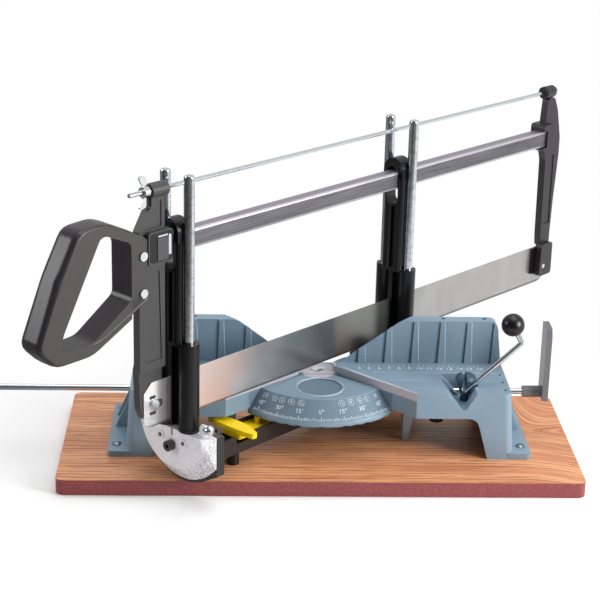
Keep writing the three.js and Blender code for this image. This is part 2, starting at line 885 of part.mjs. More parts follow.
place(model, "base_board", boardWithHoles(), woodLaminate);
place(atPivot, "base_casting", casting(), paintedBlue);
place(atPivot, "foot_screw_front_right", footScrew(footScrewX, footScrewFrontY), zincPlate);
place(atPivot, "foot_screw_back_right", footScrew(footScrewX, footScrewBackY), zincPlate);
place(atPivot, "foot_screw_front_left", footScrew(-footScrewX, footScrewFrontY), zincPlate);
place(atPivot, "foot_screw_back_left", footScrew(-footScrewX, footScrewBackY), zincPlate);
place(atPivot, "pivot_bolt", pivotBolt(), zincPlate);
place(atPivot, "pivot_washer", pivotWasher(), zincPlate);
place(atPivot, "pivot_nut", pivotNut(), zincPlate);

// Black arm: open channel with a hub, and an end plate at each end with the curved slot for tilting
function endPlate(near, far) {
  const low = tiltZ - plateRadius * Math.sin(Math.acos(plateCutX / plateRadius));
  const leftLow = tiltZ - plateRadius * Math.sin(Math.acos(plateLeft / plateRadius));
  const profile = new THREE.Shape();
  profile.moveTo(-plateLeft, plateTop);
  profile.lineTo(-plateLeft, leftLow);
  profile.absarc(0, tiltZ, plateRadius, halfTurn + Math.acos(plateLeft / plateRadius), -Math.acos(plateCutX / plateRadius), false);
  profile.lineTo(plateCutX, low);
  profile.lineTo(plateRight, plateCutZ);
  profile.lineTo(plateRight, plateTop);
  profile.closePath();
  return frontView(profile, near, far, 24);
}

// Shallow recess in the plate's face that lets the tubes and their stop rings swing past it
function plateRelief(near, far) {
  const disc = rodAlongY(plateRecessRadius, 0, tiltZ, near, far, 40);
  const reach = plateRecessRadius * Math.SQRT1_2;
  const lift = plateRecessRadius;
  const wedge = outline([
    [0, tiltZ],
    [-reach, tiltZ - reach],
    [-reach - lift, tiltZ - reach + lift],
    [0, tiltZ - reach + lift],
  ]);
  return joined(disc, frontView(wedge, near, far));
}

function tiltSlot(near, far) {
  const margin = runGap / slotRadius;
  const shape = new THREE.Shape();
  const from = -quarterTurn - margin;
  const to = -quarterTurn + tiltMax + margin;
  const half = slotWidth / 2;
  shape.absarc(0, tiltZ, slotRadius + half, from, to, false);
  shape.absarc(slotRadius * Math.cos(to), tiltZ + slotRadius * Math.sin(to), half, to, to + halfTurn, false);
  shape.absarc(0, tiltZ, slotRadius - half, to, from, true);
  shape.absarc(slotRadius * Math.cos(from), tiltZ + slotRadius * Math.sin(from), half, from + halfTurn, from + 2 * halfTurn, false);
  return frontView(shape, near, far, 8);
}

function mitreArm() {
  const half = armWidth / 2;
  const frontEnd = frontPlateS + plateThickness / 2;
  const rearEnd = rearPlateS - plateThickness / 2;
  const beam = box(-half, half, frontEnd, rearEnd, armBottom, armTop);
  const channel = box(-half + armWall, half - armWall, frontPlateS + plateThickness + armWall, leverPinS + leverBossRadius * 2, armBottom + armWall, armTop + overrun);
  const rearChannel = box(-half + armWall, half - armWall, armHubRadius, rearPlateS - plateThickness - armWall, armBottom - overrun, armTop - armWall);
  const hub = rodAlongZ(armHubRadius, 0, 0, armBottom, armTop);
  const front = endPlate(frontPlateS, frontPlateS + plateThickness);
  const rear = endPlate(rearPlateS - plateThickness, rearPlateS);
  const bore = rodAlongZ(pivotRadius + runGap, 0, 0, armBottom - overrun, armTop + overrun);
  const pinBore = rodAlongX(leverPinRadius + touchGap, leverPinS, armTop - leverBossRadius - touchGap, -half - overrun, half + overrun);
  const padBore = rodAlongZ(padStudRadius + touchGap, padX, padS, armBottom - overrun, armBottom + padStudHeight + overrun, smallSegments);
  const paddleGap = box(
    -half - overrun,
    half + overrun,
    paddleS - paddleDepth - paddleClearance,
    paddleS + paddleDepth + paddleClearance,
    armTop - paddleSink,
    armTop + overrun,
  );
  const reliefs = [
    plateRelief(frontPlateS - overrun, frontPlateS + plateRecess),
    plateRelief(rearPlateS - plateRecess, rearPlateS + overrun),
  ];
  const slots = [
    tiltSlot(frontPlateS - overrun, frontPlateS + plateThickness + overrun),
    tiltSlot(rearPlateS - plateThickness - overrun, rearPlateS + overrun),
  ];
  return cutBy(joined(cutBy(beam, channel, rearChannel), hub, front, rear), bore, pinBore, padBore, paddleGap, ...reliefs, ...slots);
}

// Plastic pad under the arm that glides on the board
function glidePad() {
  const pad = rodAlongZ(padRadius, padX, padS, boardTop + touchGap, armBottom - touchGap, smallSegments);
  return joined(pad, rodAlongZ(padStudRadius, padX, padS, armBottom - overrun, armBottom + padStudHeight, smallSegments));
}

place(sawFrame, "mitre_arm", mitreArm(), blackCoat);
place(sawFrame, "arm_glide_pad", glidePad(), blackPlastic);

// Yellow detent lever in the arm's channel, its pin and spring
const leverPinZ = armTop - leverBossRadius - touchGap;
const leverPlateTop = leverPinZ + leverThickness / 2;
function detentLever() {
  const half = leverWidth / 2;
  const plate = box(-half, half, paddleS, leverPinS, leverPinZ - leverThickness / 2, leverPlateTop);
  const boss = rodAlongX(leverBossRadius - touchGap, leverPinS, leverPinZ, -half, half);
  const riserTop = armTop + leverLift + paddleHeight;
  const riser = box(-half, half, paddleS - paddleDepth / 2, paddleS + paddleDepth / 2, leverPinZ - leverThickness / 2, riserTop);
  const span = paddleLength / 2;
  const plan = roundedOutline(
    [
      [-span, paddleS - paddleDepth * paddleTipShare],
      [-half, paddleS - paddleDepth],
      [half, paddleS - paddleDepth],
      [span, paddleS - paddleDepth * paddleTipShare],
      [span, paddleS + paddleDepth * paddleBackShare],
      [half, paddleS + paddleDepth],
      [-half, paddleS + paddleDepth],
      [-span, paddleS + paddleDepth * paddleBackShare],
    ],
    paddleDepth / 3,
  );
  const paddle = standing(plan, armTop + leverLift, riserTop, 3);
  const reach = -dialRimRadius + dialWall / 2;
  const toothHalf = detentWidth / 2 - runGap;
  const tooth = box(-toothHalf, toothHalf, reach - dialWall / 2, reach + dialWall / 2, leverPinZ, dialBottom - touchGap);
  const bore = rodAlongX(leverPinRadius + touchGap, leverPinS, leverPinZ, -half - overrun, half + overrun);
  return cutBy(joined(plate, boss, riser, paddle, tooth), bore);
}

function leverPin() {
  const half = armWidth / 2;
  return rodAlongX(leverPinRadius, leverPinS, leverPinZ, -half, half);
}

// Compression spring between the channel's floor and the lever
function detentSpring() {
  const bottom = armBottom + armWall + touchGap + springWire;
  const top = leverPinZ - leverThickness / 2 - touchGap - springWire;
  class Coil extends THREE.Curve {
    getPoint(t) {
      const angle = t * springTurns * 2 * halfTurn;
      return new THREE.Vector3(
        springRadius * Math.cos(angle),
        springS + springRadius * Math.sin(angle),
        bottom + (top - bottom) * t,
      );
    }
  }
  const section = new THREE.Shape();
  section.absarc(0, 0, springWire / 2, 0, 2 * halfTurn, false);
  const steps = springTurns * 8;
  const wire = new THREE.ExtrudeGeometry(section, { steps, extrudePath: new Coil(), curveSegments: 5, bevelEnabled: false });
  return solidFrom(wire);
}

place(sawFrame, "detent_lever", detentLever(), yellowPlastic);
place(sawFrame, "detent_pin", leverPin(), zincPlate);
place(sawFrame, "detent_spring", detentSpring(), zincPlate);

// Die-cast tilting brackets: the front one faces the user, the rear one is its plain twin
function tiltBracket(seatS, outward, front) {
  const seat = seatS + outward * touchGap;
  const face = seat + outward * bracketThickness;
  const rim = seat + outward * bracketRimWidth;
  const profile = [
    [0, seat],
    [bracketRadius, seat],
    [bracketRadius, rim],
    [bracketFaceRadius, face],
    [0, face],
  ];
  if (outward < 0) profile.reverse();
  const disc = turnedAlongY(profile, 0, tiltZ, 64);
  const near = Math.min(seat, face) - overrun;
  const far = Math.max(seat, face) + overrun;
  const facetStart = face - outward * bracketFacetDepth;
  const slant = (bracketRight - bracketFacetX) / bracketFacetDepth;
  const planAt = (edge) => {
    const side = [
      [bracketRight, seat - outward * overrun],
      [bracketRight, facetStart],
      [edge - (edge < bracketRight ? slant * overrun : 0), face + outward * overrun],
      [-bracketLeft, face + outward * overrun],
      [-bracketLeft, seat - outward * overrun],
    ];
    return outward < 0 ? side.reverse() : side;
  };
  const low = standing(outline(planAt(bracketRight)), tiltZ - bracketRadius - overrun, bracketFacetZ);
  const high = drafted(planAt(bracketRight), planAt(bracketFacetX), bracketFacetZ, bracketTop);
  const block = disc.intersect(joined(low, high));
  const rodS = front ? frontRodS : rearRodS;
  const bores = [-1, 1].map((side) => rodAlongZ(rodRadius + touchGap, (side * rodSpacing) / 2, rodS, rodBottom - touchGap, bracketTop + overrun));
  const screws = [-1, 1].map((side) =>
    rodAlongY(setScrewRadius + touchGap, (side * rodSpacing) / 2, setScrewZ, Math.min(rodS, face - overrun), Math.max(rodS, face + overrun)),
  );
  const bosses = [-1, 1].map((side) => {
    const outer = face + outward * screwBossHeight;
    const inner = face - outward * castWall;
    return rodAlongY(screwBossRadius, (side * rodSpacing) / 2, setScrewZ, Math.min(inner, outer), Math.max(inner, outer), roundSegments);
  });
  const boltHole = rodAlongY(tiltBoltRadius + touchGap, 0, tiltZ - slotRadius, near, far);
  const relief = box(-bladeReliefWidth / 2, bladeReliefWidth / 2, near, far, bracketTop - bladeReliefDepth, bracketTop + overrun);
  return cutBy(joined(block, ...bosses), ...bores, ...screws, boltHole, relief);
}

function tiltBolt(seatS, outward) {
  const face = seatS + outward * (bracketThickness + touchGap);
  const headNear = face + outward * touchGap;
  const headFar = headNear + outward * tiltHeadLength;
  const tip = seatS - outward * (plateThickness + tiltNutLength + overrun);
  const span = (a, b) => [Math.min(a, b), Math.max(a, b)];
  const z = tiltZ - slotRadius;
  const head = rodAlongY(tiltHeadRadius, 0, z, ...span(headNear, headFar), roundSegments);
  const shank = rodAlongY(tiltBoltRadius, 0, z, ...span(headNear + (outward * tiltHeadLength) / 4, tip));
  const socket = rodAlongY(tiltSocketRadius, 0, z, ...span(headFar - outward * tiltSocketDepth, headFar + outward * overrun), 6);
  return cutBy(joined(head, shank), socket);
}

function tiltNut(seatS, outward) {
  const near = seatS - outward * (plateThickness + touchGap);
  const far = near - outward * tiltNutLength;
  const z = tiltZ - slotRadius;
  const nut = rodAlongY(tiltNutRadius, 0, z, Math.min(near, far), Math.max(near, far), 6);
  return cutBy(nut, rodAlongY(tiltBoltRadius + touchGap, 0, z, Math.min(near, far) - overrun, Math.max(near, far) + overrun));
}

function setScrew(seatS, outward, side, rodS) {
  const face = seatS + outward * (bracketThickness + touchGap) - outward * setScrewSink;
  const rodFace = rodS + outward * (rodRadius + touchGap);
  return rodAlongY(setScrewRadius, (side * rodSpacing) / 2, setScrewZ, Math.min(face, rodFace), Math.max(face, rodFace), smallSegments);
}

function guideRod(side, s) {
  const profile = [
    [0, rodBottom],
    [rodRadius, rodBottom],
    [rodRadius, rodTop - rodDome],
    [rodRadius * 0.8, rodTop - rodDome / 3],
    [rodRadius * 0.4, rodTop],
    [0, rodTop],
  ];
  return turned(profile, (side * rodSpacing) / 2, s, 24);
}

// Rubber stop rings under both tubes of a guide, joined by a strip
function stopCollar(s) {
  const bottom = bracketTop + touchGap;
  const top = bottom + collarHeight;
  const ring = (side) => rodAlongZ(collarRadius, (side * rodSpacing) / 2, s, bottom, top);
  const strip = box(-rodSpacing / 2, rodSpacing / 2, s, s + collarRadius * 0.6, bottom, top);
  const bores = [-1, 1].map((side) => rodAlongZ(rodRadius + touchGap, (side * rodSpacing) / 2, s, bottom - overrun, top + overrun));
  const slit = box(-bladeReliefWidth / 2, bladeReliefWidth / 2, s - collarRadius - overrun, s + collarRadius + overrun, bottom + collarHeight / 2, top + overrun);
  return cutBy(joined(ring(-1), ring(1), strip), ...bores, slit);
}

// Thumb screw above the front bracket, pointing to the right, with the ear that carries it
function thumbScrew() {
  const z = bracketTop + thumbRise;
  const stemEnd = thumbX + thumbStemLength;
  const profile = [
    [0, thumbX],
    [thumbStemRadius, thumbX],
    [thumbStemRadius, stemEnd],
    [thumbRadius * 0.8, stemEnd],
    [thumbRadius, stemEnd + thumbLength * 0.18],
    [thumbRadius, stemEnd + thumbLength * 0.5],
    [thumbRadius * 0.86, stemEnd + thumbLength * 0.78],
    [thumbRadius * 0.5, stemEnd + thumbLength],
    [0, stemEnd + thumbLength],
  ];
  const points = profile.map(([r, h]) => new THREE.Vector2(r, h));
  const geometry = new THREE.LatheGeometry(points, 28).rotateZ(-quarterTurn).translate(0, thumbS, z);
  return solidFrom(geometry);
}

function thumbEar() {
  const z = bracketTop + thumbRise;
  const x0 = thumbX + thumbEarThickness / 2;
  const x1 = x0 + thumbEarThickness;
  const post = box(x0, x1, thumbS - thumbEarHalf, thumbS + thumbEarHalf, bracketTop - overrun, z);
  const eye = rodAlongX(thumbEarHalf, thumbS, z, x0, x1, roundSegments);
  const bore = rodAlongX(thumbStemRadius + touchGap, thumbS, z, thumbX - overrun, thumbX + thumbStemLength + overrun);
  return { ear: joined(post, eye), bore };
}

const { ear, bore: earBore } = thumbEar();
place(sawFrame, "tilt_bracket_front", cutBy(joined(tiltBracket(frontPlateS, -1, true), ear), earBore), dieCast);
place(sawFrame, "tilt_bracket_rear", tiltBracket(rearPlateS, 1, false), dieCast);
place(sawFrame, "tilt_bolt_front", tiltBolt(frontPlateS, -1), blackCoat);
place(sawFrame, "tilt_bolt_rear", tiltBolt(rearPlateS, 1), blackCoat);
place(sawFrame, "tilt_nut_front", tiltNut(frontPlateS, -1), zincPlate);
place(sawFrame, "tilt_nut_rear", tiltNut(rearPlateS, 1), zincPlate);
for (const [name, side] of [["left", -1], ["right", 1]]) {
  place(sawFrame, `rod_screw_front_${name}`, setScrew(frontPlateS, -1, side, frontRodS), blackCoat);
  place(sawFrame, `rod_screw_rear_${name}`, setScrew(rearPlateS, 1, side, rearRodS), blackCoat);
  place(sawFrame, `guide_rod_front_${name}`, guideRod(side, frontRodS), zincPlate);
  place(sawFrame, `guide_rod_rear_${name}`, guideRod(side, rearRodS), zincPlate);
}
place(sawFrame, "stop_collar_front", stopCollar(frontRodS), blackPlastic);
place(sawFrame, "stop_collar_rear", stopCollar(rearRodS), blackPlastic);
place(sawFrame, "tilt_thumb_screw", thumbScrew(), zincPlate);

// Black guide that slides on its pair of rods: two tubes with a slit fin for the blade between them,
// and two half-round legs that rise from their shelf to the arched head round the bar's window
function slidingGuide(s, tubeRadius) {
  const sides = [-1, 1];
  const tubes = sides.map((side) => rodAlongZ(tubeRadius, (side * rodSpacing) / 2, s, tubeBottom, tubeTop, 28));
  const web = box(-rodSpacing / 2, rodSpacing / 2, s - guideWebHalf, s + guideWebHalf, tubeBottom, tubeTop);
  const front = s - tubeRadius;
  const shelf = box(-rodSpacing / 2, rodSpacing / 2, front, s + guideWebHalf, tubeTop - guideShelf, tubeTop);
  const fin = box(-guideFinHalf, guideFinHalf, front, s + tubeRadius, tubeBottom, tubeTop - guideShelf / 2);
  const legS = s - legForward;
  const legs = sides.map((side) => rodAlongZ(legRadius, side * legX, legS, tubeTop - guideShelf, barWindowTop, 28));
  const back = s + guideWebHalf;
  const reach = legX + legRadius;
  const spine = box(-legX, legX, legS, back, tubeTop - guideShelf / 2, barWindowTop);
  const head = new THREE.Shape();
  const shoulder = guideTop - reach;
  head.moveTo(-reach, barWindowTop - reach);
  head.lineTo(reach, barWindowTop - reach);
  head.absarc(0, shoulder, reach, 0, halfTurn, false);
  head.closePath();
  const arch = frontView(head, legS - legRadius, back, 12);
  const bores = sides.map((side) => rodAlongZ(rodRadius + runGap, (side * rodSpacing) / 2, s, tubeBottom - overrun, guideTop + overrun, 28));
  const slitHalf = bladeThickness / 2 + runGap;
  const slitTop = bladeBottom + bladeWidth + runGap * 4;
  const slit = box(-slitHalf, slitHalf, front - overrun, s + tubeRadius + overrun, tubeBottom - overrun, slitTop);
  const windowOf = (half) => {
    const shape = new THREE.Shape();
    const grow = half - barThickness / 2 - runGap;
    shape.absarc(0, barWindowBottom + half - grow, half, halfTurn, 2 * halfTurn, false);
    shape.absarc(0, barWindowTop - half + grow, half, 0, halfTurn, false);
    shape.closePath();
    return shape;
  };
  const half = barThickness / 2 + runGap;
  const face = legS - legRadius;
  const rim = frontView(windowOf(half + windowRim), face - windowRimHeight, back, 10);
  const barSlot = frontView(windowOf(half), face - windowRimHeight - overrun, back + overrun, 10);
  return cutBy(joined(...tubes, web, shelf, fin, ...legs, spine, arch, rim), ...bores, slit, barSlot);
}

place(sawFrame, "guide_front", slidingGuide(frontRodS, frontTubeRadius), blackPlastic);
place(sawFrame, "guide_rear", slidingGuide(rearRodS, rearTubeRadius), blackPlastic);

// Saw blade with its teeth, end holes and keying slots
function bladeOutline() {
  const shape = new THREE.Shape();
  const top = bladeBottom + bladeWidth;
  shape.moveTo(bladeFront + bladeChamfer, top);
  shape.lineTo(bladeFront, top - bladeChamfer);
  shape.lineTo(bladeFront, bladeBottom + bladeFootChamfer);
  shape.lineTo(bladeFront + bladeFootChamfer, bladeBottom + toothDepth);
  const first = bladeFront + bladeChamfer;
  const last = bladeRear - bladeChamfer;
  const count = Math.floor((last - first) / toothPitch);
  for (let i = 0; i < count; i++) {
    shape.lineTo(first + i * toothPitch, bladeBottom + toothDepth);
    shape.lineTo(first + (i + 0.5) * toothPitch, bladeBottom);
  }
  shape.lineTo(first + count * toothPitch, bladeBottom + toothDepth);
  shape.quadraticCurveTo(bladeRear, bladeBottom + toothDepth, bladeRear, bladeBottom + bladeChamfer);
  shape.lineTo(bladeRear, top - bladeChamfer);
  shape.quadraticCurveTo(bladeRear, top, bladeRear - bladeChamfer, top);
  shape.closePath();
  for (const [s, inward] of [[bladeFront + bladeHoleS, 1], [bladeRear - bladeHoleS, -1]]) {
    shape.holes.push(keySlot(s + (inward * bladeKeyReach) / 2, bladeHoleZ, bladeKeyReach + 2 * bladeHoleRadius, 2 * bladeHoleRadius));
    for (const side of [-1, 1]) {
      shape.holes.push(keySlot(s - inward * bladeSlotSetBack, bladeHoleZ + side * bladeSlotOffset, bladeSlotLength, bladeSlotWidth));
    }
  }
  return shape;
}

function keySlot(s, z, length, width) {
  const slot = new THREE.Path();
  const half = length / 2 - width / 2;
  slot.absarc(s + half, z, width / 2, -quarterTurn, quarterTurn, false);
  slot.absarc(s - half, z, width / 2, quarterTurn, 3 * quarterTurn, false);
  slot.closePath();
  return slot;
}

place(sawFrame, "saw_blade", sideView(bladeOutline(), -bladeThickness / 2, bladeThickness / 2, 6), bladeSteel);

// Back bar: rounded rectangular steel tube
function backBar() {
  const outer = roundedOutline(
    [
      [-barThickness / 2, barZ - barHeight / 2],
      [barThickness / 2, barZ - barHeight / 2],
      [barThickness / 2, barZ + barHeight / 2],
      [-barThickness / 2, barZ + barHeight / 2],
    ],
    barWall * 2,
  );
  const inner = new THREE.Path([
    new THREE.Vector2(-barThickness / 2 + barWall, barZ - barHeight / 2 + barWall),
    new THREE.Vector2(-barThickness / 2 + barWall, barZ + barHeight / 2 - barWall),
    new THREE.Vector2(barThickness / 2 - barWall, barZ + barHeight / 2 - barWall),
    new THREE.Vector2(barThickness / 2 - barWall, barZ - barHeight / 2 + barWall),
  ]);
  outer.holes.push(inner);
  return frontView(outer, barFront, barRear, 3);
}

place(sawFrame, "back_bar", backBar(), zincPlate);

// Socket on an arm that holds an end of the bar: open on the right-hand side and towards the bar
function barSocket(front, rear, openFront, openRear) {
  const profile = roundedOutline(
    [
      [front, socketBottom],
      [rear, socketBottom],
      [rear, socketTop],
      [front, socketTop],
    ],
    socketRound,
  );
  const block = sideView(profile, -socketHalfWidth, socketHalfWidth, 4);
  const gap = touchGap;
  const z0 = barZ - barHeight / 2 - gap;
  const z1 = barZ + barHeight / 2 + gap;
  const pocket = box(-barThickness / 2 - gap, socketHalfWidth + overrun, openFront, openRear, z0, z1);
  return { block, pocket };
}

function frontArm() {
  const neck = frontArmFront + neckSetback;
  const profile = roundedOutline(
    [
      [frontArmFront + 2 * armHalfThickness, frontArmStep - castWall],
      [frontArmRear, frontArmStep - castWall],
      [frontArmRear, frameTopZ - barrelRadius / 2],
      [neck, frameTopZ - barrelRadius / 2],
      [neck, frameTopZ - neckDrop],
      [neck - neckShelf, frameTopZ - neckDrop],
      [frontArmFront, frameTopZ - neckDrop - neckSlope],
      [frontArmFront, frontArmStep - castWall],
    ],
    castWall / 2,
  );
  const web = sideView(profile, -armHalfThickness, armHalfThickness, 3);
  const barrel = rodAlongY(barrelRadius, 0, frameTopZ, frontArmRear + castWall - barrelLength, frontArmRear + castWall, 24);
  const lower = roundedOutline(
    [
      [frontArmFront + 3 * frontCheekTaper, frontArmBottom],
      [frontArmRear, frontArmBottom],
      [frontArmRear, frontArmStep],
      [frontArmFront + frontCheekTaper * 0.8, frontArmStep],
      [frontArmFront + frontCheekTaper * 1.4, frontArmBottom + 4 * frontCheekTaper],
    ],
    castWall,
  );
  const gapX = -bladeThickness / 2 - touchGap;
  const cheek = sideView(lower, gapX - cheekThickness, gapX, 3);
  const socket = barSocket(socketFront, socketRear, barFront - touchGap, socketRear + overrun);
  const rodBore = rodAlongY(frameRodRadius + touchGap, 0, frameTopZ, frontArmFront - overrun, frontArmRear + barrelLength);
  const slitTop = bladeBottom + bladeWidth + runGap * 4;
  const slit = box(gapX, armHalfThickness + overrun, frontArmFront - overrun, frontArmRear + overrun, frontArmBottom - overrun, slitTop);
  const panelOf = (points) => {
    const shape = roundedOutline(points, castWall / 2);
    return sideView(shape, armHalfThickness - panelDepth, armHalfThickness + overrun, 3);
  };
  const high = frameTopZ - barrelRadius - castWall / 2;
  const panels = [
    panelOf([
      [frontArmFront + castWall, socketTop + castWall / 2],
      [frontArmRear - castWall, socketTop + castWall / 2],
      [frontArmRear - castWall, high],
      [neck + castWall / 2, high],
    ]),
    panelOf([
      [frontArmFront + castWall * 1.6, frontArmStep + castWall],
      [frontArmRear - castWall, frontArmStep + castWall],
      [frontArmRear - castWall * 1.6, socketBottom - castWall * 2],
      [frontArmFront + castWall * 0.8, socketBottom - castWall * 2],
    ]),
  ];
  const tongueFront = frontArmFront - tongueReach;
  const thin = armHalfThickness;
  const tongues = rivetZs.map((z) => {
    return box(-thin, thin, tongueFront, frontArmFront + castWall, z - tongueMargin, z + tongueMargin);
  });
  const pinS = bladeFront + bladeHoleS;
  const pinBore = rodAlongX(bladePinRadius + touchGap, pinS, bladeHoleZ, gapX - cheekThickness - overrun, gapX + overrun);
  const rivetBores = rivetZs.map((z) => rodAlongX(rivetRadius + touchGap, rivetS, z, -armHalfThickness - overrun, armHalfThickness + overrun));
  const body = joined(web, barrel, cheek, socket.block, ...tongues);
  return cutBy(body, socket.pocket, rodBore, slit, ...panels, pinBore, ...rivetBores);
}

function rearArm() {
  const width = rearArmRear - rearArmFront;
  const sideShares = [
    [0.1, 0.94], [0.5, 0.94], [0.74, 0.87], [1, 0.72], [1, 0.63], [0.85, 0.4], [0.78, 0.21], [0.78, 0.02],
    [0.36, 0.02], [0.2, 0.21], [0.16, 0.62], [0, 0.68], [0, 0.8],
  ];
  const height = frameTopZ + barrelRadius - rearArmBottom;
  const points = sideShares.map(([a, b]) => [rearArmFront + width * a, rearArmBottom + height * b]);
  const web = sideView(roundedOutline(points, castWall), -armHalfThickness, armHalfThickness, 3);
  const barrel = rodAlongY(barrelRadius, 0, frameTopZ, rearArmFront - castWall / 2, rearArmFront + width * 0.45, 24);
  const gapX = bladeThickness / 2 + touchGap;
  const cheekPlan = roundedOutline(
    [
      [rearArmFront + width * 0.02, rearArmBottom],
      [rearArmFront + width * 0.78, rearArmBottom],
      [rearArmFront + width * 0.78, bladeBottom + bladeWidth + castWall],
      [rearArmFront + width * 0.1, bladeBottom + bladeWidth + castWall],
    ],
    castWall,
  );
  const cheek = sideView(cheekPlan, gapX, gapX + rearCheekThickness, 3);
  const socket = barSocket(rearSocketFront, rearSocketRear, rearSocketFront - overrun, barRear + touchGap);
  const rodBore = rodAlongY(frameRodRadius + touchGap, 0, frameTopZ, rearArmFront - barrelRadius, rearArmRear + overrun);
  const slitTop = bladeBottom + bladeWidth + runGap * 4;
  const slit = box(-armHalfThickness - overrun, gapX, rearArmFront - castWall - overrun, rearArmRear + overrun, rearArmBottom - overrun, slitTop);
  const panel = box(armHalfThickness - panelDepth, armHalfThickness + overrun, rearArmFront + width * 0.3, rearArmFront + width * 0.7, frontArmStep + castWall * 2, socketBottom - castWall * 2);
  const pinBore = rodAlongX(bladePinRadius + touchGap, bladeRear - bladeHoleS, bladeHoleZ, gapX - overrun, gapX + rearCheekThickness + overrun);
  return cutBy(joined(web, barrel, cheek, socket.block), socket.pocket, rodBore, slit, panel, pinBore);
}

place(sawFrame, "frame_arm_front", frontArm(), blackCoat);
place(sawFrame, "frame_arm_rear", rearArm(), blackCoat);

// Pins that hook the blade's ends
function bladePin(s, side) {
  const gapX = side * (bladeThickness / 2 + touchGap);
  const deep = side * (side < 0 ? cheekThickness : rearCheekThickness);
  const headX = -side * (bladeThickness / 2 + touchGap);
  const span = (a, b) => [Math.min(a, b), Math.max(a, b)];
  const shank = rodAlongX(bladePinRadius, s, bladeHoleZ, ...span(gapX + deep, headX - (side * bladePinHead) / 2));
  const head = rodAlongX(bladePinHeadRadius, s, bladeHoleZ, ...span(headX, headX - side * bladePinHead), 24);
  return joined(shank, head);
}

place(sawFrame, "blade_pin_front", bladePin(bladeFront + bladeHoleS, -1), zincPlate);
place(sawFrame, "blade_pin_rear", bladePin(bladeRear - bladeHoleS, 1), zincPlate);

// Tension rod above the bar, headed at the rear and threaded for the wing nut at the front
function tensionRod() {
  const rearFace = rearArmFront + (rearArmRear - rearArmFront) * 0.5 + touchGap;
  const rod = rodAlongY(frameRodRadius, 0, frameTopZ, frameRodFront, rearFace + frameRodHeadLength / 2, 12);
  return joined(rod, rodAlongY(frameRodHead, 0, frameTopZ, rearFace, rearFace + frameRodHeadLength, 12));
}

function wingNut() {
  const rear = frontArmRear + castWall - barrelLength - touchGap;
  const front = rear - wingHubLength;
  const hub = rodAlongY(wingHubRadius, 0, frameTopZ, front, rear, 24);
  const wings = [-1, 1].map((side) => {
    const lobe = new THREE.Shape();
    const tilt = side * wingSpan;
    lobe.moveTo(front + wingHubLength * 0.7, frameTopZ);
    lobe.lineTo(front - wingHubLength * 0.3, frameTopZ + tilt - side * wingRadius);
    lobe.quadraticCurveTo(front - wingHubLength, frameTopZ + tilt * 1.2, front + wingHubLength * 0.4, frameTopZ + tilt);
    lobe.quadraticCurveTo(front + wingHubLength * 0.9, frameTopZ + tilt * 0.7, front + wingHubLength * 0.9, frameTopZ);
    lobe.closePath();
    return sideView(lobe, -wingThickness / 2, wingThickness / 2, 5);
  });
  return cutBy(joined(hub, ...wings), rodAlongY(frameRodRadius + touchGap, 0, frameTopZ, front - overrun * 4, rear + overrun));
}

place(sawFrame, "tension_rod", tensionRod(), zincPlate);
place(sawFrame, "wing_nut", wingNut(), zincPlate);

// Handle: closed D loop with rounded grip, forked over the front arm and riveted through it
const handleFaceShares = [
  [0.617, 0.995], [0.38, 1], [0.188, 0.893], [0.026, 0.806], [0, 0.78], [0, 0.308], [0.158, 0.211], [0.55, 0],
  [0.861, 0], [1, 0.167], [0.772, 0.67],
];
const handleMiddleShares = [
  [0.66, 1.005], [0.4, 1.022], [0.188, 0.91], [0.026, 0.806], [0, 0.78], [0, 0.308], [0.158, 0.211], [0.55, -0.02],
  [0.873, -0.026], [1.04, 0.156], [0.841, 0.67],
];
const handleInnerShares = [
  [0.47, 0.911], [0.422, 0.924], [0.191, 0.812], [0.191, 0.353], [0.538, 0.1], [0.8, 0.08], [0.833, 0.114],
  [0.809, 0.228],
];
const handleBulgeShares = [
  [-1, 0], [-0.95, 0.45], [-0.85, 0.76], [-0.7, 0.92], [-0.45, 1], [0.45, 1], [0.7, 0.92], [0.85, 0.76],
  [0.95, 0.45], [1, 0],
];

const handlePoint = ([back, up]) => [handleRootS - back * handleFront, handleBottom + up * handleHeight];

// Rounded ring of the handle, from its flat side faces out to its bulging middle
function handleRing(bulge) {
  const points = handleFaceShares.map(([back, up], i) => {
    const [middleBack, middleUp] = handleMiddleShares[i];
    return handlePoint([back + (middleBack - back) * bulge, up + (middleUp - up) * bulge]);
  });
  return roundedOutline(points.reverse(), handleEdge * 1.6).getPoints(3).map((point) => [point.x, point.y]);
}

function handle() {
  const rings = handleBulgeShares.map(([, bulge]) => handleRing(bulge));
  const levels = handleBulgeShares.map(([across]) => across * handleHalfThickness);
  const loop = solidFrom(lofted(rings, levels).applyMatrix4(sideTurn));
  const opening = roundedOutline(handleInnerShares.map(handlePoint), handleEdge);
  const reach = handleHalfThickness + overrun;
  const hollow = sideView(opening, -reach, reach, 4);
  const rootS = handleRootS - handleFront * 0.19;
  const low = handleBottom - overrun;
  const high = handleBottom + handleHeight + overrun;
  const trim = [-1, 1].map((side) => {
    const a = side * handleFlangeHalf;
    const b = side * reach;
    return box(Math.min(a, b), Math.max(a, b), rootS, handleRootS + overrun, low, high);
  });
  const forkHalf = armHalfThickness + touchGap;
  const fork = box(-forkHalf, forkHalf, frontArmFront - touchGap, handleRootS + overrun, low, high);
  const margin = tongueMargin + touchGap;
  const pockets = rivetZs.map((z) => {
    const front = frontArmFront - tongueReach - touchGap;
    return box(-forkHalf, forkHalf, front, handleRootS, z - margin, z + margin);
  });
  const bores = rivetZs.map((z) => rodAlongX(rivetRadius + touchGap, rivetS, z, -handleHalfThickness, handleHalfThickness));
  const seat = box(-reach, reach, socketFront - touchGap, handleRootS + overrun, socketBottom - touchGap, high);
  return cutBy(loop, hollow, ...trim, fork, ...pockets, seat, ...bores);
}

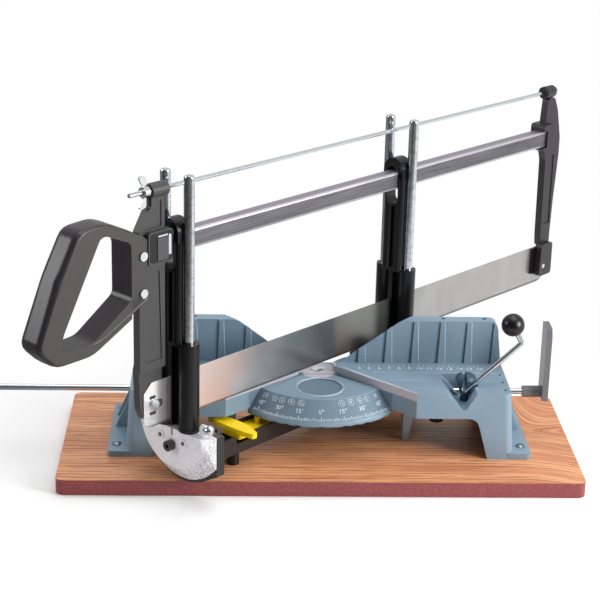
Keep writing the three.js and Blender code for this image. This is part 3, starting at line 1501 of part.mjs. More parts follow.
function rivet(z) {
  const s = rivetS;
  const reach = handleFlangeHalf + touchGap;
  const shank = rodAlongX(rivetRadius, s, z, -reach - rivetHead / 2, reach + rivetHead / 2);
  const heads = [-1, 1].map((side) => {
    const a = side * reach;
    const b = side * (reach + rivetHead);
    return rodAlongX(rivetHeadRadius, s, z, Math.min(a, b), Math.max(a, b));
  });
  return joined(shank, ...heads);
}

place(sawFrame, "handle", handle(), blackPlastic);
place(sawFrame, "handle_rivet_upper", rivet(rivetZs[0]), zincPlate);
place(sawFrame, "handle_rivet_lower", rivet(rivetZs[1]), zincPlate);

// Length stop: rod through the table, plate on its end and the knob that locks it
function stopPlate() {
  const y0 = stopRodY - stopPlateFront;
  const y1 = stopRodY + stopPlateBack;
  const profile = outline([
    [y0, stopPlateBottom],
    [y1, stopPlateBottom],
    [y1, stopPlateTop],
    [y0 + stopChamfer, stopPlateTop],
    [y0, stopPlateTop - stopChamfer * 2],
  ]);
  const plate = sideView(profile, stopPlateX, stopPlateX + stopPlateThickness);
  const boss = rodAlongX(stopBossRadius, stopRodY, stopRodZ, stopPlateX - stopBossLength, stopPlateX + stopPlateThickness / 2, 24);
  const bore = rodAlongX(stopRodRadius + touchGap, stopRodY, stopRodZ, stopPlateX - stopBossLength - overrun, stopPlateX);
  return cutBy(joined(plate, boss), bore);
}

function stopKnob() {
  const top = stopKnobBottom + stopKnobHeight;
  const body = rodAlongZ(stopKnobRadius, stopKnobX, stopRodY, stopKnobBottom, top);
  const grooves = Array.from({ length: stopKnobFlutes }, (_, k) => {
    const angle = (k * 2 * halfTurn) / stopKnobFlutes;
    const x = stopKnobX + stopKnobRadius * Math.cos(angle);
    const y = stopRodY + stopKnobRadius * Math.sin(angle);
    return rodAlongZ(stopKnobFluteRadius, x, y, stopKnobBottom - overrun, top + overrun, 8);
  });
  const stemTop = stopRodZ - stopRodRadius - touchGap;
  return joined(cutBy(body, ...grooves), rodAlongZ(stopStemRadius, stopKnobX, stopRodY, top - overrun, stemTop, smallSegments));
}

place(atPivot, "stop_rod", rodAlongX(stopRodRadius, stopRodY, stopRodZ, stopRodLeft, stopPlateX - touchGap, 16), zincPlate);
place(atPivot, "stop_plate", stopPlate(), blackPlastic);
place(atPivot, "stop_lock_knob", stopKnob(), blackPlastic);

// Work clamp: cam in its pocket, bent lever and ball
function clampCam() {
  const bottom = clampPocketFloor + touchGap;
  const crest = tableTop + camRise;
  const profile = [
    [0, bottom],
    [camFootRadius, bottom],
    [camFootRadius, bottom + camSlotDrop / 2],
    [camRadius, crest - camCrown],
    [camRadius * 0.9, crest - camCrown * 0.45],
    [camRadius * 0.6, crest - camCrown * 0.1],
    [0, crest],
  ];
  const body = turned(profile, clampX + camOffset, clampY);
  const spindle = rodAlongZ(clampPinRadius, clampX, clampY, clampPocketFloor - clampWall, bottom + overrun, smallSegments);
  const left = clampX + camOffset - camSlotShift - camSlotWidth / 2;
  const slot = box(left, left + camSlotWidth, clampY - 2 * camRadius, clampY + 2 * camRadius, tableTop - camSlotDrop, crest + overrun);
  const { start, bend } = clampLeverPoints();
  const seat = joined(rodBetween(start, bend, leverRodRadius + touchGap), ballAt(start, leverRodRadius + touchGap, smallSegments));
  return cutBy(joined(body, spindle), slot, seat);
}

function clampLeverPoints() {
  const plane = clampY - leverForward;
  const foot = tableTop - leverRodDrop;
  const start = new THREE.Vector3(clampX + camOffset / 2, plane, foot);
  const bend = new THREE.Vector3(clampX + leverRodReach, plane, foot + leverRodRise);
  const end = bend.clone().add(new THREE.Vector3(-leverTopIn, 0, leverTopUp));
  return { start, bend, end };
}

function rodBetween(from, to, radius) {
  const along = to.clone().sub(from);
  const geometry = new THREE.CylinderGeometry(radius, radius, along.length(), smallSegments);
  const turn = new THREE.Quaternion().setFromUnitVectors(new THREE.Vector3(0, 1, 0), along.clone().normalize());
  const middle = from.clone().add(to).divideScalar(2);
  return solidFrom(geometry.applyQuaternion(turn).translate(middle.x, middle.y, middle.z));
}

function ballAt(centre, radius, segments) {
  const geometry = new THREE.SphereGeometry(radius, segments, segments / 2);
  return solidFrom(geometry.translate(centre.x, centre.y, centre.z));
}

function clampLever() {
  const { start, bend, end } = clampLeverPoints();
  const elbow = ballAt(bend, leverRodRadius, smallSegments);
  const rod = joined(rodBetween(start, bend, leverRodRadius), elbow, rodBetween(bend, end, leverRodRadius));
  return cutBy(rod, ballAt(end, ballRadius + touchGap, roundSegments));
}

function clampBall() {
  return ballAt(clampLeverPoints().end, ballRadius, roundSegments);
}



place(atPivot, "clamp_cam", clampCam(), paintedBlue);
place(atPivot, "clamp_lever", clampLever(), zincPlate);
place(atPivot, "clamp_ball", clampBall(), blackPlastic);

export default model;
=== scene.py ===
import math

import bmesh
import bpy
from mathutils import Matrix, Vector


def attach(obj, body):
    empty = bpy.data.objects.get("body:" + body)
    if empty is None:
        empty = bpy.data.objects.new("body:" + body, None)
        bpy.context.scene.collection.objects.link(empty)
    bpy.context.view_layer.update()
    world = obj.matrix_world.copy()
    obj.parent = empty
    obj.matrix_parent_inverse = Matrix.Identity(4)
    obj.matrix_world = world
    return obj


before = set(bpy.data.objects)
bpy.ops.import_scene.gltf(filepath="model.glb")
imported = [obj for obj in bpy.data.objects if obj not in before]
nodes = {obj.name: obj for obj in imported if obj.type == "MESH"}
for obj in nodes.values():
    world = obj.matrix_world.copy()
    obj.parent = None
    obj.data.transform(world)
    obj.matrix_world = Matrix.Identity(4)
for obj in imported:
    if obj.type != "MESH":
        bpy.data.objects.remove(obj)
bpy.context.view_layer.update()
scene = bpy.context.scene

# CAMERA AND STUDIO
# A long lens stands in front of the bench, a little to its left, and looks down on the saw.
# A white sweep of floor runs out under the board, and large soft lamps hang above it.
camera_data = bpy.data.cameras.new("camera")
camera_data.sensor_width = 36.0
camera_data.lens = 100.96
camera_data.clip_end = 50.0
camera = bpy.data.objects.new("camera", camera_data)
scene.collection.objects.link(camera)
scene.camera = camera
camera_place = (-0.08599, -1.53154, 0.70321)
azimuth, elevation, roll = (math.radians(a) for a in (-2.43, 19.58, 1.42))
level_reach = math.cos(elevation)
back = Vector((math.sin(azimuth) * level_reach, -math.cos(azimuth) * level_reach, math.sin(elevation)))
right = (-back).cross(Vector((0, 0, 1))).normalized()
up = right.cross(-back)
camera_x = right * math.cos(roll) + up * math.sin(roll)
camera_y = up * math.cos(roll) - right * math.sin(roll)
camera_turn = Matrix((camera_x, camera_y, back)).transposed().to_4x4()
camera.matrix_world = Matrix.Translation(camera_place) @ camera_turn


def fed(tree, kind, **inputs):
    node = tree.nodes.new(kind)
    for name, value in inputs.items():
        socket = node.inputs[name.replace("_", " ")]
        if isinstance(value, bpy.types.NodeSocket):
            tree.links.new(value, socket)
        else:
            socket.default_value = value
    return node


def new_material(name):
    material = bpy.data.materials.new(name)
    material.use_nodes = True
    material.node_tree.nodes.clear()
    return material, material.node_tree


def spot_on(tree, kind="Object"):
    return fed(tree, "ShaderNodeTexCoord").outputs[kind]


def parted(tree, vector):
    return fed(tree, "ShaderNodeSeparateXYZ", Vector=vector).outputs


def ranged(tree, value, low, high, start=0.0, end=1.0, smooth=False):
    node = fed(tree, "ShaderNodeMapRange", Value=value, From_Min=low, From_Max=high, To_Min=start, To_Max=end)
    if smooth:
        node.interpolation_type = "SMOOTHSTEP"
    return node.outputs["Result"]


def summed(tree, operation, first, second=0.0, clamp=False):
    node = tree.nodes.new("ShaderNodeMath")
    node.operation = operation
    node.use_clamp = clamp
    for socket, value in zip(node.inputs, (first, second)):
        if isinstance(value, (int, float)):
            socket.default_value = value
        else:
            tree.links.new(value, socket)
    return node.outputs["Value"]


def either_shader(tree, share, first, second):
    node = fed(tree, "ShaderNodeMixShader", Fac=share)
    tree.links.new(first, node.inputs[1])
    tree.links.new(second, node.inputs[2])
    return node.outputs["Shader"]


def floor_material():
    material, tree = new_material("studio_floor")
    spot = spot_on(tree)
    length = tree.nodes.new("ShaderNodeVectorMath")
    length.operation = "LENGTH"
    tree.links.new(spot, length.inputs[0])
    split = parted(tree, spot)
    ray = fed(tree, "ShaderNodeLightPath").outputs
    fade = ranged(tree, length.outputs["Value"], 0.29, 0.43)
    seen = summed(tree, "MULTIPLY", fade, ray["Is Camera Ray"])
    mirrored = summed(tree, "MULTIPLY", ray["Is Glossy Ray"], 0.92)
    share = summed(tree, "MAXIMUM", seen, mirrored)
    across = ranged(tree, split["X"], -0.4, 0.1, 0.12, 1.0, True)
    depth = ranged(tree, split["Y"], -0.8, -0.2, 0.1, 1.0, True)
    tone = summed(tree, "MULTIPLY", across, depth)
    strength = summed(tree, "MAXIMUM", tone, ray["Is Camera Ray"])
    matte = fed(tree, "ShaderNodeBsdfDiffuse", Color=(0.93, 0.93, 0.93, 1)).outputs["BSDF"]
    glow = fed(tree, "ShaderNodeEmission", Strength=strength).outputs["Emission"]
    fed(tree, "ShaderNodeOutputMaterial", Surface=either_shader(tree, share, matte, glow))
    return material


floor_mesh = bpy.data.meshes.new("floor")
reach = 12.0
floor_corners = [(-reach, -reach, 0), (reach, -reach, 0), (reach, reach, 0), (-reach, reach, 0)]
floor_mesh.from_pydata(floor_corners, [], [(0, 1, 2, 3)])
floor = bpy.data.objects.new("floor", floor_mesh)
floor.location.z = -0.0005
floor_mesh.materials.append(floor_material())
scene.collection.objects.link(floor)

world = bpy.data.worlds.new("studio")
scene.world = world
world.use_nodes = True
sky_tree = world.node_tree
sky_tree.nodes.clear()
toward_lamps = sky_tree.nodes.new("ShaderNodeVectorMath")
toward_lamps.operation = "DOT_PRODUCT"
toward_lamps.inputs[1].default_value = (0.48, 0.62, 0.66)
sky_tree.links.new(spot_on(sky_tree, "Generated"), toward_lamps.inputs[0])
brightness = ranged(sky_tree, toward_lamps.outputs["Value"], -0.45, 0.8, 0.1, 0.9, True)
sky = fed(sky_tree, "ShaderNodeBackground", Strength=brightness).outputs["Background"]
white = fed(sky_tree, "ShaderNodeBackground", Color=(1, 1, 1, 1)).outputs["Background"]
seen_directly = fed(sky_tree, "ShaderNodeLightPath").outputs["Is Camera Ray"]
fed(sky_tree, "ShaderNodeOutputWorld", Surface=either_shader(sky_tree, seen_directly, sky, white))


def soft_lamp(name, place, aim, size, power):
    data = bpy.data.lights.new(name, "AREA")
    data.shape = "RECTANGLE"
    data.size, data.size_y = size
    data.energy = power
    lamp = bpy.data.objects.new(name, data)
    lamp.location = place
    lamp.rotation_euler = (Vector(aim) - Vector(place)).to_track_quat("-Z", "Y").to_euler()
    scene.collection.objects.link(lamp)


soft_lamp("lamp_top", (0.2, 0.1, 2.2), (0, 0, 0.1), (2.0, 1.4), 19)
soft_lamp("lamp_left", (-1.7, -0.15, 0.78), (-0.1, 0, 0.2), (0.9, 0.8), 10)
soft_lamp("lamp_right", (1.1, -0.6, 0.56), (0, 0, 0.12), (0.55, 0.6), 17)


# FINISH OF THE SOLIDS
# Moulded and machined pieces have small rounded edges, and turned ones are smooth all round.
# The same light touch is put on every solid: joined corners and smooth faces, with small rounds where a size
# is given.
def new_node_group(name, *numbers):
    tree = bpy.data.node_groups.new(name, "GeometryNodeTree")
    tree.interface.new_socket("Geometry", in_out="INPUT", socket_type="NodeSocketGeometry")
    for number in numbers:
        tree.interface.new_socket(number, in_out="INPUT", socket_type="NodeSocketFloat")
    tree.interface.new_socket("Geometry", in_out="OUTPUT", socket_type="NodeSocketGeometry")
    return tree, tree.nodes.new("NodeGroupInput").outputs


def smooth_tree():
    tree, start = new_node_group("smooth_faces", "Sharp angle")
    forget = fed(tree, "GeometryNodeRemoveAttribute", Geometry=start["Geometry"], Name="custom_normal")
    smooth = fed(tree, "GeometryNodeSetShadeSmooth", Geometry=forget.outputs["Geometry"])
    smooth.domain = "FACE"
    sharp = tree.nodes.new("FunctionNodeCompare")
    sharp.operation = "GREATER_THAN"
    angle = fed(tree, "GeometryNodeInputMeshEdgeAngle").outputs["Unsigned Angle"]
    tree.links.new(angle, sharp.inputs[0])
    tree.links.new(start["Sharp angle"], sharp.inputs[1])
    crease = fed(tree, "GeometryNodeSetShadeSmooth", Geometry=smooth.outputs["Geometry"], Shade_Smooth=False)
    crease.domain = "EDGE"
    tree.links.new(sharp.outputs["Result"], crease.inputs["Selection"])
    fed(tree, "NodeGroupOutput", Geometry=crease.outputs["Geometry"])
    return tree


smooth_faces = smooth_tree()
sharp_input = next(s.identifier for s in smooth_faces.interface.items_tree if s.name == "Sharp angle")
joined_gap = 2e-6


def soften(solid, round_mm=0.4, sharp_degrees=35.0, flatten=True):
    weld = solid.modifiers.new("joined_corners", "WELD")
    weld.merge_threshold = joined_gap
    if round_mm:
        if flatten:
            plain = solid.modifiers.new("plain_faces", "DECIMATE")
            plain.decimate_type = "DISSOLVE"
            plain.angle_limit = math.radians(0.6)
        edge = solid.modifiers.new("rounded_edges", "BEVEL")
        edge.width = round_mm / 1000
        edge.segments = 2
        edge.limit_method = "ANGLE"
        edge.angle_limit = math.radians(40)
        edge.miter_outer = "MITER_ARC"
    smooth = solid.modifiers.new("smooth_faces", "NODES")
    smooth.node_group = smooth_faces
    smooth[sharp_input] = math.radians(sharp_degrees)
    even = solid.modifiers.new("even_normals", "WEIGHTED_NORMAL")
    even.keep_sharp = True


def dress(names, material, **edges):
    for name in names:
        solid = nodes[name]
        solid.data.materials.clear()
        solid.data.materials.append(material)
        soften(solid, **edges)


# BOARD
# A chipboard base with a printed timber laminate on top and a dark red edging strip.
# The grain runs along the board, with flatter cathedral figures toward its right end.
def srgb(red, green, blue):
    def linear(value):
        value /= 255
        return value / 12.92 if value <= 0.04045 else ((value + 0.055) / 1.055) ** 2.4

    return (linear(red), linear(green), linear(blue), 1.0)


def noisy(tree, vector, **values):
    return fed(tree, "ShaderNodeTexNoise", Vector=vector, **values).outputs["Fac"]


def mapped(tree, vector, **values):
    return fed(tree, "ShaderNodeMapping", Vector=vector, **values).outputs["Vector"]


def toned(tree, value, low, deep, high, pale):
    node = fed(tree, "ShaderNodeValToRGB", Fac=value)
    for element, position, colour in zip(node.color_ramp.elements, (low, high), (deep, pale)):
        element.position = position
        element.color = srgb(*colour)
    return node.outputs["Color"]


def mixed(tree, share, first, second):
    node = tree.nodes.new("ShaderNodeMix")
    node.data_type = "RGBA"
    for name, value in (("Factor", share), ("A", first), ("B", second)):
        if isinstance(value, tuple):
            node.inputs[name].default_value = srgb(*value)
        else:
            tree.links.new(value, node.inputs[name])
    return node.outputs["Result"]


def finished(material, tree, height=None, strength=0.0, depth=0.0, **looks):
    shader = fed(tree, "ShaderNodeBsdfPrincipled", **looks)
    if height is not None:
        relief = fed(tree, "ShaderNodeBump", Height=height, Strength=strength, Distance=depth)
        tree.links.new(relief.outputs["Normal"], shader.inputs["Normal"])
    fed(tree, "ShaderNodeOutputMaterial", Surface=shader.outputs["BSDF"])
    return material


def board_material():
    material, tree = new_material("timber_laminate")
    spot = spot_on(tree)
    split = parted(tree, spot)
    depth = summed(tree, "SUBTRACT", split["Y"], 0.015)
    square = summed(tree, "MULTIPLY", depth, depth)
    bowed = summed(tree, "SQRT", summed(tree, "ADD", square, 0.00002))
    past = summed(tree, "MAXIMUM", summed(tree, "SUBTRACT", split["X"], 0.2), 0.0)
    arched = summed(tree, "SUBTRACT", summed(tree, "MULTIPLY", past, 0.3), bowed)
    figured = ranged(tree, split["X"], 0.16, 0.25, 0.0, 1.0, True)
    run = fed(tree, "ShaderNodeMix", Factor=figured, A=depth, B=arched)
    lie = fed(tree, "ShaderNodeCombineXYZ", X=split["X"], Y=run.outputs["Result"]).outputs["Vector"]

    def streaks(along, across, scale, detail, rough, waver):
        stretch = mapped(tree, lie, Scale=(along, across, 1.0))
        return noisy(tree, stretch, Scale=scale, Detail=detail, Roughness=rough, Distortion=waver)

    bands = streaks(2.2, 40.0, 1.4, 3.0, 0.5, 0.4)
    lines = streaks(9.0, 190.0, 1.5, 4.0, 0.6, 0.3)
    pores = streaks(22.0, 420.0, 1.3, 3.0, 0.6, 0.2)
    squeezed = mapped(tree, lie, Scale=(0.09, 1.0, 1.0))
    figure = {"Distortion": 6.0, "Detail": 3.0, "Detail_Scale": 1.6, "Detail_Roughness": 0.6}
    rings = fed(tree, "ShaderNodeTexWave", Vector=squeezed, Scale=54.0, **figure)
    rings.bands_direction = "Y"
    ringed = ranged(tree, rings.outputs["Fac"], 0.6, 0.85, 0.0, 1.0, True)
    broken = ranged(tree, lines, 0.4, 0.58, 0.15, 1.0, True)
    late_wood = summed(tree, "MULTIPLY", summed(tree, "MULTIPLY", ringed, broken), 0.85)
    tones = toned(tree, bands, 0.34, (198, 128, 86), 0.62, (229, 166, 119))
    grain = mixed(tree, late_wood, tones, (150, 84, 56))
    pored = mixed(tree, ranged(tree, pores, 0.52, 0.68, 0.0, 0.6, True), grain, (128, 70, 46))
    edge = noisy(tree, spot, Scale=1100.0, Detail=3.0, Roughness=0.7)
    edging = toned(tree, edge, 0.35, (116, 44, 46), 0.68, (168, 84, 84))
    turned = parted(tree, fed(tree, "ShaderNodeNewGeometry").outputs["Normal"])
    top = summed(tree, "GREATER_THAN", turned["Z"], 0.7)
    colour = mixed(tree, top, edging, pored)
    return finished(material, tree, pores, 0.1, 0.0002, Base_Color=colour, Roughness=0.4)


dress(["base_board"], board_material(), round_mm=0.5)


# CASTING AND CLAMP CAM
# Zinc or aluminium casting under a smooth grey-blue paint, with a little orange peel.
# The slope beside the dial and the bridge over the pivot are left bright from the cutter.
pivot_y = 0.027


def painted_material(name, deep, pale):
    material, tree = new_material(name)
    spot = spot_on(tree)
    split = parted(tree, spot)
    facing = parted(tree, spot_on(tree, "Normal"))
    peel = noisy(tree, spot, Scale=420.0, Detail=3.0)
    cloud = noisy(tree, spot, Scale=14.0, Detail=4.0)
    tones = toned(tree, cloud, 0.3, deep, 0.75, pale)

    def both(first, second):
        return summed(tree, "MULTIPLY", first, second)

    def past_line(ax, ay, bx, by):
        run = math.hypot(bx - ax, by - ay)
        along_y = both(summed(tree, "SUBTRACT", split["Y"], ay), (bx - ax) / run)
        along_x = both(summed(tree, "SUBTRACT", split["X"], ax), (by - ay) / run)
        return ranged(tree, summed(tree, "SUBTRACT", along_y, along_x), -0.0002, 0.0002)

    def height_band(low, full, fading, high):
        return both(ranged(tree, split["Z"], fading, high, 1.0, 0.0), ranged(tree, split["Z"], low, full))

    left = past_line(0.0197, 0.024, 0.0886, -0.0604)
    right_hand = past_line(0.095, -0.0499, 0.0329, 0.0113)
    high = ranged(tree, split["Z"], 0.0795, 0.0805)
    level = ranged(tree, facing["Z"], 0.45, 0.6)
    ledge = both(both(left, right_hand), both(high, level))
    away = tree.nodes.new("ShaderNodeVectorMath")
    away.operation = "DISTANCE"
    away.inputs[1].default_value = (0.0, pivot_y, 0.0768)
    tree.links.new(spot, away.inputs[0])
    bridge = ranged(tree, away.outputs["Value"], 0.0178, 0.0182, 1.0, 0.0)
    inward = ranged(tree, both(facing["X"], split["X"]), -0.006, -0.004, 1.0, 0.0)
    forward = ranged(tree, facing["Y"], -0.45, -0.35, 1.0, 0.0)
    upright = ranged(tree, facing["Z"], 0.3, 0.4, 1.0, 0.0)
    beside_dial = ranged(tree, summed(tree, "ABSOLUTE", split["X"]), 0.1, 0.102, 1.0, 0.0)
    top_band = both(height_band(0.0726, 0.0732, 0.0812, 0.0816), beside_dial)
    wall = both(top_band, both(inward, both(forward, upright)))
    bare = summed(tree, "MAXIMUM", summed(tree, "MAXIMUM", ledge, bridge), wall)
    # Painted shade: the dial's slope, between 54 and 73 mm up and within 89 mm of the pivot, is mixed toward
    # a darker blue for the shade that falls on it.
    near = ranged(tree, away.outputs["Value"], 0.089, 0.09, 0.6, 0.0)
    cone_painted_shade = both(height_band(0.0542, 0.0555, 0.0722, 0.0728), near)
    colour = mixed(tree, bare, mixed(tree, cone_painted_shade, tones, (84, 104, 120)), (186, 182, 190))
    return finished(material, tree, peel, 0.08, 0.0003, Base_Color=colour, Roughness=0.42)


grey_blue_paint = painted_material("grey_blue_paint", (116, 139, 156), (130, 153, 169))
dress(["base_casting"], grey_blue_paint, round_mm=0)
dark_blue_paint = painted_material("dark_blue_paint", (40, 62, 80), (54, 80, 100))
dress(["clamp_cam"], dark_blue_paint, round_mm=0.5)


# FENCE RIB EDGES
# The raised ribs of the fence carry a pale bead along one edge as a painted highlight,
# and a dark bead along the other as a painted shade line.
def worn_material():
    material, tree = new_material("worn_marks")
    flecks = noisy(tree, spot_on(tree), Scale=380.0, Detail=3.0, Roughness=0.6)
    # Pale tones for the raised marks, and for painted highlights on rib edges and ring crests.
    tones = toned(tree, flecks, 0.32, (146, 168, 184), 0.6, (204, 217, 227))
    return finished(material, tree, Base_Color=tones, Roughness=0.4)


worn_marks = worn_material()


def raised_mesh(name, corners, faces):
    mesh = bpy.data.meshes.new(name)
    mesh.from_pydata(corners, [], faces)
    return mesh


def tube_faces(stations, sections, closed=False):
    faces = []
    for k in range(stations if closed else stations - 1):
        a, b = k * sections, ((k + 1) % stations) * sections
        for j in range(sections):
            up_one = (j + 1) % sections
            faces.append((a + j, b + j, b + up_one, a + up_one))
    if not closed:
        last = (stations - 1) * sections
        faces += [tuple(range(sections)), tuple(last + j for j in reversed(range(sections)))]
    return faces


def bead_mesh(path, radius, sections=8):
    corners = []
    for k, point in enumerate(path):
        run = (Vector(path[min(k + 1, len(path) - 1)]) - Vector(path[max(k - 1, 0)])).normalized()
        if abs(run.y) > 0.9:
            first = run.orthogonal().normalized()
        else:
            first = run.cross(Vector((0, 1, 0))).normalized()
        second = run.cross(first)
        for j in range(sections):
            lean = math.tau * j / sections
            corners.append(Vector(point) + (first * math.cos(lean) + second * math.sin(lean)) * radius)
    return raised_mesh("bead", corners, tube_faces(len(path), sections))


def gathered(name, meshes, material, body):
    work = bmesh.new()
    for mesh in meshes:
        work.from_mesh(mesh)
    bmesh.ops.remove_doubles(work, verts=work.verts, dist=1e-6)
    bmesh.ops.recalc_face_normals(work, faces=work.faces)
    for face in work.faces:
        face.material_index = 0
    whole = bpy.data.meshes.new(name)
    work.to_mesh(whole)
    work.free()
    whole.materials.clear()
    whole.materials.append(material)
    piece = bpy.data.objects.new(name, whole)
    scene.collection.objects.link(piece)
    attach(piece, body)
    return piece


fence_foot_z, fence_top_z, fence_face_y = 0.081, 0.1254, 0.0312
fence_foot_x, fence_shoulder_x, fence_end_x = 0.0199, 0.0802, 0.177
rib_first_x, rib_pitch, rib_count = 0.0434, 0.0267, 6
rib_foot_half, rib_top_half = 0.0037, 0.002
rib_start_gap, rib_end_gap = 0.0006, 0.0022
edge_bead = 0.00034


def rib_edge(middle, way, drop):
    fence_height = fence_top_z - fence_foot_z
    share = (abs(middle) - fence_foot_x) / (fence_shoulder_x - fence_foot_x)
    rise = fence_height * min(1.0, share) - rib_end_gap
    foot_x = middle + way * rib_foot_half
    top_x = middle + way * (rib_foot_half + (rib_top_half - rib_foot_half) * rise / fence_height)
    y = fence_face_y + drop
    return [(foot_x, y, fence_foot_z + rib_start_gap), (top_x, y, fence_foot_z + rise)]


# Painted highlight and painted shade: pale beads on the lit edges of the ribs, dark beads on their shaded
# edges.
highlight_beads, shade_beads = [], []
for side in (-1, 1):
    for k in range(rib_count):
        x = side * (rib_first_x + rib_pitch * k)
        if x + rib_foot_half < fence_end_x:
            highlight_beads.append(bead_mesh(rib_edge(x, 1, 0.0002), edge_bead))
        if x - rib_foot_half > -fence_end_x:
            shade_beads.append(bead_mesh(rib_edge(x, -1.25, 0.0006), edge_bead * 1.3))
gathered("rib_edges_pale", highlight_beads, worn_marks, "base")
gathered("rib_edges_dark", shade_beads, dark_blue_paint, "base")

# DIAL MARKS
# Degree ticks and numbers stand a little proud on the slope of the dial, coloured pale on their faces.
# The lower numbers are degrees, the upper ones tell how many sides a frame cut at that angle has.
dial_top_radius, dial_foot_radius, dial_rim_radius = 0.0714, 0.0874, 0.088
dial_top_z, dial_foot_z, dial_rim_z = 0.073, 0.055, 0.0512
slope_length = math.hypot(dial_foot_radius - dial_top_radius, dial_top_z - dial_foot_z)
slope_run = (dial_foot_radius - dial_top_radius) / slope_length
slope_fall = (dial_top_z - dial_foot_z) / slope_length
mark_height = 0.0004


def tick_tree(name, lengths, width, base, tilt, turning):
    tree, start = new_node_group(name, "Ticks each side", "Pitch")
    half = start["Ticks each side"]
    index = fed(tree, "GeometryNodeInputIndex").outputs["Index"]
    turn = summed(tree, "SUBTRACT", index, half)
    size = summed(tree, "ABSOLUTE", turn)
    step = summed(tree, "MULTIPLY", turn, start["Pitch"])

    def every(count):
        return summed(tree, "LESS_THAN", summed(tree, "MODULO", size, count), 0.5)

    fives = every(5.0)
    tens = every(15.0 if turning else 2.0)
    middling = summed(tree, "SUBTRACT", fives, tens, True)
    plain = summed(tree, "SUBTRACT", 1.0, summed(tree, "MAXIMUM", fives, tens))
    spread = tree.nodes.new("ShaderNodeCombineXYZ")
    tree.links.new(step, spread.inputs["Z" if turning else "X"])
    whole = summed(tree, "ADD", summed(tree, "MULTIPLY", half, 2.0), 1.0)
    points = fed(tree, "GeometryNodePoints", Count=whole)
    set_out = fed(tree, "GeometryNodeSetPosition", Geometry=points.outputs["Points"])
    if not turning:
        tree.links.new(spread.outputs["Vector"], set_out.inputs["Position"])
    gather = tree.nodes.new("GeometryNodeJoinGeometry")
    for length, chosen in zip(lengths, (plain, middling, tens)):
        foot = Vector(base) + Vector((0, math.cos(tilt), math.sin(tilt))) * (length / 2)
        bar = fed(tree, "GeometryNodeMeshCube", Size=(width, length, mark_height * 2)).outputs["Mesh"]
        lay = fed(tree, "GeometryNodeTransform", Geometry=bar, Translation=foot, Rotation=(tilt, 0, 0))
        copies = fed(tree, "GeometryNodeInstanceOnPoints", Points=set_out.outputs["Geometry"])
        tree.links.new(lay.outputs["Geometry"], copies.inputs["Instance"])
        tree.links.new(chosen, copies.inputs["Selection"])
        if turning:
            tree.links.new(spread.outputs["Vector"], copies.inputs["Rotation"])
        tree.links.new(copies.outputs["Instances"], gather.inputs["Geometry"])
    real = fed(tree, "GeometryNodeRealizeInstances", Geometry=gather.outputs["Geometry"])
    fed(tree, "NodeGroupOutput", Geometry=real.outputs["Geometry"])
    return tree


def finished_mesh(carrier):
    scene.collection.objects.link(carrier)
    mesh = bpy.data.meshes.new_from_object(carrier.evaluated_get(bpy.context.evaluated_depsgraph_get()))
    bpy.data.objects.remove(carrier)
    return mesh


def grown_mesh(tree, **inputs):
    carrier = bpy.data.objects.new(tree.name, bpy.data.meshes.new(tree.name))
    grow = carrier.modifiers.new(tree.name, "NODES")
    grow.node_group = tree
    sockets = [s for s in tree.interface.items_tree if s.in_out == "INPUT"]
    named = {s.name.replace(" ", "_").lower(): s.identifier for s in sockets}
    for name, value in inputs.items():
        grow[named[name]] = value
    return finished_mesh(carrier)


def number_mesh(words, height, bend):
    curve = bpy.data.curves.new("number", "FONT")
    curve.body = words
    curve.size = height / 0.72
    curve.align_x, curve.align_y = "CENTER", "CENTER"
    curve.extrude = mark_height
    curve.offset = height * 0.02
    curve.resolution_u = 3
    mesh = finished_mesh(bpy.data.objects.new("number", curve))
    for corner in mesh.vertices:
        corner.co = bend(*corner.co)
    return mesh


def frame_mesh(sides, radius, bend):
    width = 0.00045
    corners, faces = [], []
    for k in range(sides):
        turn = math.tau * (k + 0.5) / sides
        for ring in (radius, radius - width):
            for lift in (-mark_height, mark_height):
                corners.append(bend(ring * math.sin(turn), -ring * math.cos(turn), lift))
        a, b = 4 * k, 4 * ((k + 1) % sides)
        faces += [(a, b, b + 1, a + 1), (a + 3, b + 3, b + 2, a + 2)]
        faces += [(a + 1, b + 1, b + 3, a + 3), (a + 2, b + 2, b, a)]
    return raised_mesh("frame", corners, faces)


def on_slope(turn, down):
    def bend(across, upward, lift):
        slid = down - upward
        radius = dial_top_radius + slid * slope_run + lift * slope_fall
        angle = turn + across / (dial_top_radius + down * slope_run)
        z = dial_top_z - slid * slope_fall + lift * slope_run
        return Vector((radius * math.sin(angle), pivot_y - radius * math.cos(angle), z))

    return bend


tick_foot = slope_length - 0.0012
tick_base = (0, -dial_top_radius - tick_foot * slope_run, dial_top_z - tick_foot * slope_fall)
tick_tilt = math.atan2(slope_fall, slope_run)
dial_ticks = tick_tree("dial_ticks", (0.0026, 0.0036, 0.0048), 0.00062, tick_base, tick_tilt, True)
tick_mesh = grown_mesh(dial_ticks, ticks_each_side=49.0, pitch=math.radians(1))
for corner in tick_mesh.vertices:
    corner.co.y += pivot_y
dial_meshes = [tick_mesh]
for degrees in (-45, -30, -15, 0, 15, 30, 45):
    bend = on_slope(math.radians(degrees), slope_length * 0.56)
    dial_meshes.append(number_mesh(f"{abs(degrees)}\u00b0", 0.0044, bend))
for degrees, sides in ((15, 12), (22.5, 8), (30, 6), (36, 5), (45, 4)):
    for way in (-1, 1):
        bend = on_slope(math.radians(degrees * way), slope_length * 0.22)
        dial_meshes.append(number_mesh(str(sides), 0.003, bend))
        dial_meshes.append(frame_mesh(sides, 0.0034, bend))
gathered("dial_marks", dial_meshes, worn_marks, "base")


